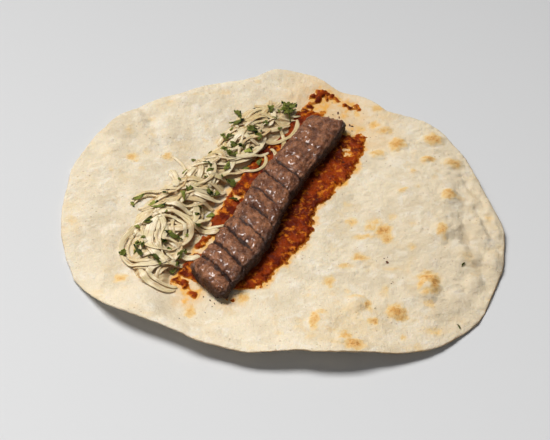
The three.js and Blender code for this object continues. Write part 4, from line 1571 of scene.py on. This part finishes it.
@dataclass
class OnionHeap:
    """Thinly sliced onion, heaped on the bread to the left of the kebab.

    The band is its outline, given by stations, each (along, left edge, right edge). The slices are those that
    show clearly, with fillers under them and thin shreds over them.
    """

    band: Rows = (
        (-144, -66, -46), (-134, -82, -42), (-120, -92, -46), (-98, -104, -42), (-74, -112, -44),
        (-48, -108, -52), (-15, -99, -52), (15, -96, -53), (40, -88, -46), (62, -91, -42), (86, -91, -36),
        (108, -82, -38), (122, -70, -44),
    )
    slices: tuple[OnionSlice, ...] = each(
        OnionSlice,
        (-100, -81, 25, 196, 95, 6.6), (-96, -78, 25, 200, 80, 3.4), (-130, 25, 44, 8, 44, 3.2),
        (-130, 20, 32, -12, 50, 7.0), (-120, -8, 19, 45, 125, 3.2), (-121, -10, 16, 60, 100, 2.4),
        (-5, 72, 37, 98, 46, 5.0), (-6, 70, 33, 96, 44, 3.0), (-36, 70, 24, 98, 70, 4.4),
        (-24, 110, 18, -46, 74, 6.0), (-64, 0, 37, 243, 68, 6.0), (-64, 4, 36, 246, 54, 3.0),
        (-81, -50, 20, 236, 80, 6.6), (-69, 35, 28, 232, 78, 5.0), (-54, 50, 24, 231, 80, 5.0),
        (-66, 48, 13, -5, 110, 6.0), (-100, -62, 9, 0, 230, 3.0), (-108, -50, 40, 48, 40, 5.0),
        (-106, -52, 36, 46, 46, 3.0), (-110, -18, 33, -22, 42, 6.4), (-103, -41, 22, -50, 182, 5.2),
        (-104, -42, 17, -30, 150, 3.4), (-86, -48, 33, 140, 104, 9.2), (-92, -50, 20, 150, 92, 2.6),
        (-118, -57, 26, 110, 206, 5.8), (-117, -58, 21, 120, 170, 3.4), (-20, 60, 30, 96, 66, 7.2),
        (-29, 55, 15, 226, 160, 3.2), (-20, 58, 16, -34, 82, 3.8), (-22, 80, 26, -26, 72, 3.8),
        (-22, 84, 27, 26, 60, 4.4), (-13, 107, 30, 262, 106, 4.2),
    )
    fillers: int = 84
    filler_widths: tuple[float, float] = (3.0, 6.6)
    shreds: int = 8
    shred_widths: tuple[float, float] = (1.4, 2.4)
    thickness: float = 0.6
    sides: int = 12
    step: float = 1.6
    ceiling: float = 17.5
    arch: float = 1.5
    core_height: float = 6.6
    core_slope: float = 13.0
    core_layer: float = 4.6
    core_extent: tuple[float, ...] = (-146, 124, -116, -34)
    fibre_width: float = 1.1
    fibre_length: float = 15.0
    pile_low: tuple[float, float] = (-175.0, -135.0)
    pile_high: tuple[float, float] = (60.0, 175.0)
    pile_cell: float = 1.0
    seeds: tuple[int, int] = (51, 5)

    def __post_init__(self) -> None:
        """Make the noise that the heap's core is roughened by."""
        self.tumble = Noise(self.seeds[0])

    def ground(self, x: Array, y: Array) -> Array:
        """Return what the onion lies on: bread, or paste where there is any."""
        return BREAD.top(x, y) + np.maximum(PASTE.thickness(x, y), 0.0)

    def lay(self, x: Array, y: Array) -> tuple[Array, Array]:
        """Return how far across and along the core's layers each place is."""
        return 0.5 * x - 0.86 * y, 0.86 * x + 0.5 * y

    def layers(self, x: Array, y: Array) -> Array:
        """Return how near places are to a seam between two of the core's layers.

        Args:
            x: the places' x.
            y: their y.

        Returns:
            The nearness, from 0 to 1.
        """
        spots = on_plane(x, y)
        bend = 1.3 * self.tumble.smooth(spots, 26.0) + 0.5 * self.tumble.smooth(spots + 30, 9.0)
        seam = np.abs(self.lay(x, y)[0] / self.core_layer + 2.0 * bend) % 1.0
        return 2 * np.abs(seam - 0.5)

    def core_rise(self, x: Array, y: Array) -> Array:
        """Return how far the core stands above the ground.

        Args:
            x: the places' x.
            y: their y.

        Returns:
            The height at each place; below 0 it isn't there.
        """
        spots = on_plane(x, y)
        along, across = LINE.split(x, y)
        inside = inside_band(self.band, along, across) + 4.0 * self.tumble.layered(spots, 16.0, 2)
        height = self.core_height + 1.6 * self.tumble.smooth(spots + 140, 24.0)
        height = height * mix(0.5, 1.0, smoothstep(120.0, 82.0, along))
        mound = height * smoothstep(0.0, self.core_slope, inside)
        rough = 0.8 * self.tumble.smooth(spots + 70, 7.0) - 1.2 * self.layers(x, y) ** 3
        clear = smoothstep(0.5, 5.0, KEBAB.clearance(x, y))
        return (mound + rough * smoothstep(0.5, 3.0, mound)) * clear - 0.5

    def bed(self, x: Array, y: Array) -> Array:
        """Return the height of the ground with the core on it."""
        return self.ground(x, y) + np.maximum(self.core_rise(x, y), 0.0)

    def core(self) -> Surface:
        """Return the core's surface.

        Returns:
            A closed surface with the values edge, tone, across and run.
        """
        grid_x, grid_y = LINE.grid(self.core_extent, 1.0)
        x, y = grid_x.ravel(), grid_y.ravel()
        surface, used = spread_out(grid_x, grid_y, self.ground(x, y), self.core_rise(x, y), 0.5)
        seams = self.layers(x, y)[used] ** 4
        x, y = x[used], y[used]
        tone = np.clip(0.45 + 0.5 * self.tumble.smooth(on_plane(x, y), 12.0), 0, 1)
        across, run = self.lay(x, y)
        across, run = across / self.fibre_width, run / self.fibre_length
        for key, numbers in {"edge": seams, "tone": tone, "across": across, "run": run}.items():
            surface.values[key] = np.tile(numbers, 2)
        return surface

    def path(self, cut: OnionSlice) -> tuple[Array, Array]:
        """Return places along a slice's middle line.

        Args:
            cut: the slice.

        Returns:
            Their x and their y.
        """
        steps = max(8, int(cut.radius * math.radians(cut.sweep) / self.step))
        share = np.linspace(0, 1, steps)
        angle = np.radians(cut.start + cut.sweep * share)
        radius = cut.radius * (1 + cut.open * (share - 0.5))
        return cut.x + radius * np.cos(angle), cut.y + radius * np.sin(angle)

    def laid_on(self, cut: OnionSlice, ground: Array, thick: Array) -> Array:
        """Return how high a slice's underside lies: near what is under it, but stiffer.

        Args:
            cut: the slice.
            ground: the height of what is under it, along its middle line.
            thick: its thickness there.

        Returns:
            The height along its middle line.
        """
        kernel = np.array([1, 2, 3, 2, 1]) / 9
        held = np.convolve(np.pad(ground, 2, mode="edge"), kernel, mode="valid")
        held = np.maximum(held, ground - 0.45)
        held = np.convolve(np.pad(held, 2, mode="edge"), kernel, mode="valid")
        own = (0.37 * cut.x + 0.73 * cut.y) % 1.0
        held = held + self.arch * own * np.sin(math.pi * np.linspace(0, 1, len(ground)))
        return np.minimum(held, self.ceiling - thick)

    def ribbon(self, cut: OnionSlice, pile: Pile, draw: Draw) -> Surface | None:
        """Lay one slice on the pile.

        Args:
            cut: the slice.
            pile: what it lies on, which it then adds to.
            draw: where its small differences come from.

        Returns:
            Its surface with the same values as the core, or None where it would run into the kebab.
        """
        x, y = self.path(cut)
        x = x + draw.normal() * 0.3
        free = KEBAB.clearance(x, y) > cut.width / 2 + 0.4
        if not free.all():
            runs = np.flatnonzero(free)
            if len(runs) < 8 or not free[len(free) // 2]:
                return None
            x, y = x[runs[0] : runs[-1] + 1], y[runs[0] : runs[-1] + 1]
            if (KEBAB.clearance(x, y) <= cut.width / 2 - 0.6).any():
                return None
        n = len(x)
        share = np.linspace(0, 1, n)
        taper = np.minimum(1, 0.5 + 4.0 * np.minimum(share, 1 - share))
        width = cut.width * taper * (1 + 0.12 * np.sin(share * 9 + draw.random() * 6))
        thick = self.thickness * mix(0.55, 1.0, taper) * mix(0.85, 1.15, draw.random())
        tx, ty = np.gradient(x), np.gradient(y)
        length = np.hypot(tx, ty)
        tx, ty = tx / length, ty / length
        sx, sy = ty, -tx
        beside = (-0.9, 0, 0.9)
        ground = np.max([pile.height(x + k * sx * width / 2, y + k * sy * width / 2) for k in beside], axis=0)
        z = self.laid_on(cut, ground, thick) + thick / 2

        twist = np.radians(draw.normal() * 4 + 6 * np.sin(share * 5 + draw.random() * 6))
        turn = ring_angles(self.sides)
        across = np.sign(np.cos(turn)) * np.abs(np.cos(turn)) ** 0.85
        above = np.sin(turn)
        u = across[None, :] * width[:, None] / 2
        v = above[None, :] * (thick / 2)[:, None]
        flat = u * np.cos(twist)[:, None] - v * np.sin(twist)[:, None]
        high = u * np.sin(twist)[:, None] + v * np.cos(twist)[:, None]
        px, py = x[:, None] + sx[:, None] * flat, y[:, None] + sy[:, None] * flat
        points = np.stack([px, py, z[:, None] + high], axis=-1).reshape(-1, 3)
        tone = draw.random() ** 1.3 * (0.35 if cut.width > 6 else 1.0)
        pile.cover(x, y, z - thick * 0.15, width / 2)
        run = np.repeat(np.cumsum(length) / self.fibre_length, self.sides)
        values = {
            "edge": np.append(np.tile(np.abs(np.cos(turn)) ** 2.5, n), [0.6, 0.6]),
            "tone": np.full(self.sides * n + 2, tone),
            "across": np.append(u.ravel(), [0.0, 0.0]) / self.fibre_width + 41.0 * tone,
            "run": np.append(run, [run[0], run[-1]]) + cut.x,
        }
        return Surface(with_tips(points, self.sides), capsule_faces(n, self.sides), values)

    def held(self, cut: OnionSlice) -> bool:
        """Return whether a slice stays within the heap's outline.

        Args:
            cut: the slice.

        Returns:
            True where all of it does.
        """
        along, across = LINE.split(*self.path(cut))
        left, right = along_rows(self.band, along)
        ends = (along > self.band[0][0] - 2) & (along < self.band[-1][0] + 2)
        return bool((ends & (across > left - 2.5) & (across < right + 4)).all())

    def scattered(self, count: int, widths: tuple[float, float], draw: Draw) -> list[OnionSlice]:
        """Return slices spread evenly over the heap.

        Args:
            count: how many.
            widths: the narrowest and the widest.
            draw: where their places come from.

        Returns:
            The slices.
        """
        made: list[OnionSlice] = []
        i = 0
        while len(made) < count:
            i += 1
            along = mix(self.band[0][0] + 10, self.band[-1][0] - 8, evenly(i, 0.3))
            left, right = along_rows(self.band, np.array(along))
            across = mix(left + 6, right - 5, draw.random())
            cx, cy = LINE.place(along, across)
            heading = draw.normal() * 34 + 30
            radius, sweep = mix(16, 48, draw.random()), mix(45, 120, draw.random())
            sweep = min(sweep, math.degrees(62 / radius))
            bearing = heading + (90 if draw.random() < 0.35 else -90)
            mid = math.radians(bearing)
            cut = OnionSlice(
                float(cx) - radius * math.cos(mid),
                float(cy) - radius * math.sin(mid),
                radius,
                bearing - sweep / 2,
                sweep,
                mix(*widths, draw.random()),
                draw.normal() * 0.15,
            )
            if self.held(cut):
                made.append(cut)
        return made

    def surface(self, pile: Pile) -> Surface:
        """Return all the slices, laid from the bottom up.

        Args:
            pile: what they lie on, which they add to.

        Returns:
            One surface with the values edge, tone, across, run and deep.
        """
        draw = np.random.default_rng(self.seeds[1])
        cuts = self.scattered(self.fillers, self.filler_widths, draw)
        cuts += list(self.slices)
        cuts += self.scattered(self.shreds, self.shred_widths, draw)
        laid = [self.ribbon(cut, pile, draw) for cut in cuts]
        onion = Surface.joined([self.core(), *(surface for surface in laid if surface)])
        x, y, z = onion.points.T
        # Painted shade: how far each place lies under the pile's top, which tints it warmer and darker.
        onion.values["deep"] = smoothstep(0.45, 2.2, pile.height(x, y) - z)
        return onion


@dataclass(frozen=True)
class LeafCut:
    """One piece of chopped parsley: place, length, width, bearing in degrees, and how light it is."""

    x: float
    y: float
    length: float
    width: float
    bearing: float
    tone: float


@dataclass
class Parsley:
    """Chopped parsley over the onion, with one small sprig at the far end.

    The cuts are the pieces that show clearly, the flecks lie alone on the bread, and small ones are strewn.
    """

    cuts: tuple[LeafCut, ...] = each(
        LeafCut,
        (-41, 118, 13, 5, -60, 0.3), (-9, 120, 10, 6, -83, 0.3), (-42, 101, 15, 6, 7, 0.3),
        (-27, 90, 10, 8, -28, 0.2), (-21, 81, 10, 6, -50, 0.3), (-55, 87, 10, 4, -67, 0.4),
        (-49, 81, 9, 5, 28, 0.2), (-14, 99, 5, 4, -14, 0.3), (-44, 72, 10, 5, -27, 0.3),
        (-37, 68, 7, 5, -14, 0.2), (-53, 65, 8, 5, -39, 0.3), (-49, 59, 8, 5, -67, 0.2),
        (-45, 56, 7, 5, -27, 0.2), (-30, 63, 8, 6, 14, 0.8), (-20, 52, 8, 4, 68, 0.3),
        (-70, 43, 8, 4, -39, 0.4), (-66, 33, 7, 4, 28, 0.3), (-50, 42, 10, 5, 69, 0.4),
        (-90, 35, 6, 3, 40, 0.5), (-46, 25, 10, 7, -39, 0.2), (-66, 9, 9, 5, -53, 0.3),
        (-59, 8, 8, 4, 50, 0.4), (-84, 9, 6, 4, 27, 0.3), (-90, -1, 14, 4, -75, 0.5),
        (-64, -16, 8, 5, 14, 0.6), (-118, -7, 8, 4, 40, 0.7), (-111, -13, 13, 4, 7, 0.5),
        (-132, 3, 11, 4, 28, 0.5), (-137, -4, 6, 3, -64, 0.5), (-120, -27, 8, 5, 34, 0.3),
        (-121, -32, 8, 4, -13, 0.3), (-130, -36, 6, 3, -26, 0.5), (-142, -63, 8, 6, 70, 0.3),
        (-127, -66, 16, 4, -60, 0.1), (-129, -56, 7, 5, -25, 0.4), (-112, -77, 17, 4, -47, 0.1),
        (-96, -49, 14, 5, -32, 0.2), (-101, -45, 7, 4, 14, 0.6), (-105, -57, 5, 3, 0, 0.2),
        (-100, -62, 5, 3, -37, 0.3), (-90, -69, 9, 4, 64, 0.2), (-92, -79, 6, 3, 69, 0.2),
        (-96, -85, 7, 4, 39, 0.3), (-86, -64, 5, 3, 50, 0.3), (-107, 4, 6, 3, -26, 0.3),
        (-83, 56, 4, 3, 0, 0.3), (-33, 45, 6, 4, 0, 0.4), (-43, 4, 9, 3, -14, 0.1), (-75, -34, 5, 4, 0, 0.1),
    )
    flecks: tuple[LeafCut, ...] = each(
        LeafCut, (163, -79, 5.0, 1.4, 53, 0.1), (154, -148, 5.2, 1.3, -65, 0.1)
    )
    sprig: tuple[float, float] = (8, 123)
    sprig_leaves: int = 9
    extra: int = 26
    sides: int = 26
    rings: tuple[float, ...] = (1.0, 0.62, 0.28)
    thickness: float = 0.34
    seed: int = 12

    def leaf(self, cut: LeafCut, z: float, slope: tuple[float, float], draw: Draw) -> Surface:
        """Return one piece of leaf, a thin closed shell with lobed edges.

        Args:
            cut: the piece.
            z: the height that its middle lies at.
            slope: how it rises towards +X and +Y.
            draw: where its outline comes from.

        Returns:
            Its surface with the value tone.
        """
        turn = ring_angles(self.sides)
        lobes = 1 + 0.20 * np.cos(3 * turn + draw.random() * 6) + 0.13 * np.cos(7 * turn + draw.random() * 6)
        lobes = lobes + 0.08 * np.cos(11 * turn + draw.random() * 6)
        rings = [np.stack([np.cos(turn) * lobes * r, np.sin(turn) * lobes * r], axis=-1) for r in self.rings]
        flat = np.concatenate([*rings, [[0.0, 0.0]]]) * np.array([cut.length / 2, cut.width / 2])
        curl = draw.normal() * 0.10
        bend = draw.normal() * 0.035 - 0.015
        rise = curl * flat[:, 1] ** 2 + bend * flat[:, 0] ** 2
        rise = rise + 0.35 * np.sin(flat[:, 0] * 1.1 + draw.random() * 6) * np.cos(flat[:, 1] * 1.4)
        c, s = turned(cut.bearing)
        x = flat[:, 0] * c - flat[:, 1] * s
        y = flat[:, 0] * s + flat[:, 1] * c
        up = z + rise - min(rise.min(), 0.0) * 0.6 + slope[0] * x + slope[1] * y
        upper = np.stack([cut.x + x, cut.y + y, up + self.thickness / 2], axis=-1)
        lower = upper - np.array([0.0, 0.0, self.thickness])
        count = len(upper)
        ring = [np.arange(self.sides) + k * self.sides for k in range(len(self.rings))]
        shell = [*(band_faces(*pair) for pair in zip(ring, ring[1:])), fan_faces(ring[-1], count - 1)]
        faces = [*shell, band_faces(ring[0] + count, ring[0]), *(rows[:, ::-1] + count for rows in shell)]
        at_rim = np.hypot(flat[:, 0] / cut.length, flat[:, 1] / cut.width) > 0.45
        tone = np.clip(cut.tone + 0.25 * at_rim, 0, 1)
        return Surface(np.concatenate([upper, lower]), faces, {"tone": np.concatenate([tone, tone])})

    def stem(self, start: Vector, end: Vector, thick: float) -> Surface:
        """Return a round stalk from one place to another, arched a little.

        Args:
            start: its first place.
            end: its last place.
            thick: its thickness.

        Returns:
            Its surface with the value tone.
        """
        n, sides = 9, 7
        share = np.linspace(0, 1, n)
        middle = np.array(start)[None, :] * (1 - share[:, None]) + np.array(end)[None, :] * share[:, None]
        middle[:, 2] += 1.4 * np.sin(share * math.pi)
        ahead = np.array(end) - np.array(start)
        ahead /= np.linalg.norm(ahead)
        side = np.cross(ahead, [0, 0, 1.0])
        side /= np.linalg.norm(side)
        up = np.cross(side, ahead)
        turn = ring_angles(sides)
        ring = np.cos(turn)[:, None] * side + np.sin(turn)[:, None] * up
        points = (middle[:, None, :] + ring[None, :, :] * thick / 2).reshape(-1, 3)
        tips = np.stack([middle[0], middle[-1]])
        values = {"tone": np.full(n * sides + 2, 0.75)}
        return Surface(np.concatenate([points, tips]), capsule_faces(n, sides, flipped=True), values)

    def surface(self, pile: Pile, heap: OnionHeap) -> Surface:
        """Return all the parsley.

        Args:
            pile: what it lies on.
            heap: the onion, for the outline that more bits are strewn in.

        Returns:
            One surface with the value tone.
        """
        draw = np.random.default_rng(self.seed)
        cuts = list(self.cuts)
        for i in range(self.extra):
            along = mix(heap.band[1][0], heap.band[-2][0], evenly(i, 0.1))
            left, right = along_rows(heap.band, np.array(along))
            cx, cy = LINE.place(along, mix(left + 3, right - 3, draw.random()))
            length = mix(2.5, 5.0, draw.random())
            bearing, tone = 360 * draw.random(), 0.6 * draw.random()
            cuts.append(LeafCut(float(cx), float(cy), length, length * 0.6, bearing, tone))
        laid = []
        for cut in (*cuts, *self.flecks):
            reach = cut.length * 0.3
            spots = np.array([[0, 0], [reach, 0], [-reach, 0], [0, reach], [0, -reach]])
            height = heap.ground if cut in self.flecks else pile.height
            z = height(cut.x + spots[:, 0], cut.y + spots[:, 1])
            slope = (0.5 * (z[1] - z[2]) / (2 * reach), 0.5 * (z[3] - z[4]) / (2 * reach))
            slope = (float(np.clip(slope[0], -0.5, 0.5)), float(np.clip(slope[1], -0.5, 0.5)))
            level = min(float(z.mean() * 0.4 + z.max() * 0.6) + 0.35, heap.ceiling)
            laid.append(self.leaf(cut, level, slope, draw))
        sx, sy = self.sprig
        base = float(pile.height(np.array([sx]), np.array([sy]))[0])
        for k in range(self.sprig_leaves):
            bearing = 50 + 41 * k + draw.normal() * 9
            away = 2.5 + 3.2 * (k % 3) / 2
            c, s = turned(bearing)
            cut = LeafCut(sx + away * c, sy + away * s * 1.1, 8.5, 5.2, bearing, 0.15 + 0.12 * (k % 3))
            laid.append(self.leaf(cut, base + 3.4 + 0.9 * (k % 3), (0.28 * c, 0.28 * s), draw))
        root = Vector((sx, sy, base + 3.2))
        for end, thick in (((sx + 2, sy - 15, base + 0.6), 1.1), ((sx - 5, sy - 7, base + 1.0), 0.9)):
            laid.append(self.stem(root, Vector(end), thick))
        return Surface.joined(laid)


@dataclass
class Crumbs:
    """Small charred and peppery bits strewn by the paste and over the bread.

    The bits that show clearly are placed, each by (x, y, size, tone), and the others are strewn.
    """

    placed: tuple[tuple[float, ...], ...] = (
        (57, 123, 3.4, 0.95), (58, 117, 3.2, 0.9), (68, 106, 2.8, 0.5), (70, 104.5, 3.0, 0.6),
        (63, 88, 2.4, 0.8), (68, 92, 1.8, 0.8), (48, 118, 1.8, 0.9), (52, 121, 1.5, 0.2),
        (56, 114, 1.4, 0.3), (70, 98, 1.6, 0.2), (-62, -117, 2.2, 0.7), (-58, -121, 2.4, 0.3),
        (-52, -120, 2.0, 0.4), (-68, -113, 1.8, 0.9), (-74, -110, 1.6, 1.0), (-47, -121, 1.6, 0.2),
        (-60, -124, 1.4, 0.8), (-66, -131, 1.4, 0.6), (-88, -141, 1.5, 0.0), (-55, -139, 1.0, 0.1),
        (95.5, -74.6, 3.2, 0.9), (93, -70, 1.6, 0.6), (96, -69, 1.2, 0.7), (86, -72, 1.0, 0.6),
        (98, -100, 1.2, 0.2), (82, -130, 1.4, 0.2), (-67, -20, 1.4, 0.9), (-71, -14, 1.2, 0.9),
        (-62, -26, 1.5, 0.8),
    )
    strewn: int = 44
    rings: int = 5
    sides: int = 8
    seed: int = 31

    def lump(self, x: float, y: float, z: float, size: float, tone: float, draw: Draw) -> Surface:
        """Return one small bit, an uneven round lump.

        Args:
            x: its place.
            y: the same.
            z: the height that it lies on.
            size: its length.
            tone: 0 for a charred bit, 1 for a red one.
            draw: where its form comes from.

        Returns:
            Its surface with the value tone.
        """
        tilt = np.repeat(np.linspace(0.5, math.pi - 0.5, self.rings), self.sides)
        turn = np.tile(ring_angles(self.sides), self.rings)
        shape = np.stack([np.sin(tilt) * np.cos(turn), np.sin(tilt) * np.sin(turn), np.cos(tilt)], axis=-1)
        shape = np.concatenate([shape, [[0, 0, 1.0], [0, 0, -1.0]]])
        shape *= 1 + 0.22 * draw.normal(size=(len(shape), 1))
        shape *= np.array([size * 0.5, size * mix(0.16, 0.34, draw.random()), size * 0.16])
        spin = draw.random() * math.pi
        c, s = math.cos(spin), math.sin(spin)
        px, py = shape[:, 0] * c - shape[:, 1] * s, shape[:, 0] * s + shape[:, 1] * c
        points = np.stack([x + px, y + py, z + shape[:, 2] + size * 0.1], axis=-1)
        values = {"tone": np.full(len(points), tone)}
        return Surface(points, capsule_faces(self.rings, self.sides), values)

    def surface(self) -> Surface:
        """Return all the bits.

        Returns:
            One surface with the value tone.
        """
        draw = np.random.default_rng(self.seed)
        spots = list(self.placed)
        for i in range(self.strewn):
            along = mix(-128, 150, evenly(i, 0.2))
            side = 1 if i % 2 else -1
            across = side * mix(34, 52, draw.random() ** 1.4) - 4
            x, y = LINE.place(along, across)
            spots.append((float(x), float(y), mix(0.6, 1.3, draw.random()), mix(0.3, 1.0, draw.random())))
        lumps = []
        for x, y, size, tone in spots:
            px, py = np.array([float(x)]), np.array([float(y)])
            z = BREAD.top(px, py) + np.maximum(PASTE.thickness(px, py), 0.0)
            lumps.append(self.lump(x, y, float(z[0]), size, tone, draw))
        return Surface.joined(lumps)


# ---------------------------------------------------------------- the studio


@dataclass
class Studio:
    """A pale floor, soft light from behind on the left, and the camera, in metres."""

    elevation: float = 47.0
    lens: float = 100.0
    sensor: float = 36.0
    distance: float = 1.4056
    target: Triple = (-0.005, -0.022, 0.004)
    floor_reach: float = 4.0
    glow: Colour = (0.94, 0.96, 1.0)
    glow_strength: float = 0.1
    lamps: tuple[tuple[str, Triple, Triple, float, float, Colour], ...] = (
        ("key", (-1.51, 1.27, 3.48), (-1.24, -1.71, 3.30), 2.6, 360.0, (1.0, 0.99, 0.97)),
        ("fill", (-0.9, -1.8, 1.6), (-0.6, -0.6, 0.0), 1.6, 4.0, (0.97, 0.98, 1.0)),
    )

    def camera(self) -> None:
        """Place the camera at the photograph's viewing angle."""
        data = bpy.data.cameras.new("camera")
        data.lens, data.sensor_width = self.lens, self.sensor
        tilt = math.radians(self.elevation)
        back = Vector((0.0, -math.cos(tilt), math.sin(tilt)))
        camera = bpy.data.objects.new("camera", data)
        camera.location = Vector(self.target) + back * self.distance
        camera.rotation_euler = back.to_track_quat("Z", "Y").to_euler()
        show(camera)
        bpy.context.scene.camera = camera

    def lamp(self, name: str, place: Triple, aim: Triple, size: float, power: float, tint: Colour) -> None:
        """Hang a square soft light.

        Args:
            name: the light's name.
            place: where it hangs, in metres.
            aim: the place that it points at.
            size: its side, in metres.
            power: its power, in watts.
            tint: its colour.
        """
        data = bpy.data.lights.new(name, "AREA")
        data.shape, data.size, data.energy, data.color = "SQUARE", size, power, tint
        lamp = bpy.data.objects.new(name, data)
        lamp.location = place
        lamp.rotation_euler = (Vector(place) - Vector(aim)).to_track_quat("Z", "Y").to_euler()
        show(lamp)

    def floor(self) -> None:
        """Lay the floor, a flat square at the height of the table."""
        reach = self.floor_reach
        corners = [(-reach, -reach, 0), (reach, -reach, 0), (reach, reach, 0), (-reach, reach, 0)]
        mesh = bpy.data.meshes.new("floor")
        mesh.from_pydata(corners, [], [(0, 1, 2, 3)])
        mesh.materials.append(FloorFinish().material())
        floor = bpy.data.objects.new("floor", mesh)
        show(floor)

    def build(self) -> None:
        """Make the camera, the floor, the lights and the backdrop's glow."""
        self.camera()
        self.floor()
        for lamp in self.lamps:
            self.lamp(*lamp)
        world = bpy.data.worlds.new("studio")
        world.use_nodes = True
        glow = world.node_tree.nodes.get("Background") or world.node_tree.nodes.new("ShaderNodeBackground")
        glow.inputs["Color"].default_value = (*self.glow, 1.0)
        glow.inputs["Strength"].default_value = self.glow_strength
        bpy.context.scene.world = world
        bpy.context.scene.view_settings.view_transform = "Standard"
        log.info("studio: floor, two lights and the camera")


def main() -> None:
    """Build the studio, then the wrap from the bread up."""
    Studio().build()
    make_piece("flatbread_sheet", BREAD.surface(PASTE.oil), BreadFinish().material(), "flatbread")
    make_piece("pepper_paste_spread", PASTE.surface(), PasteFinish().material(), "pepper_paste")
    make_piece("pressed_kebab", KEBAB.surface(), MeatFinish().material(), "kebab")
    heap = OnionHeap()
    pile = Pile(heap.pile_low, heap.pile_high, heap.pile_cell, heap.bed)
    make_piece("onion_slices", heap.surface(pile), OnionFinish().material(), "onion_heap")
    make_piece("parsley_leaves", Parsley().surface(pile, heap), LeafFinish().material())
    make_piece("charred_crumbs", Crumbs().surface(), CrumbFinish().material())


if __name__ == "__main__":
    logging.basicConfig(level=logging.INFO, format="%(message)s")
    main()
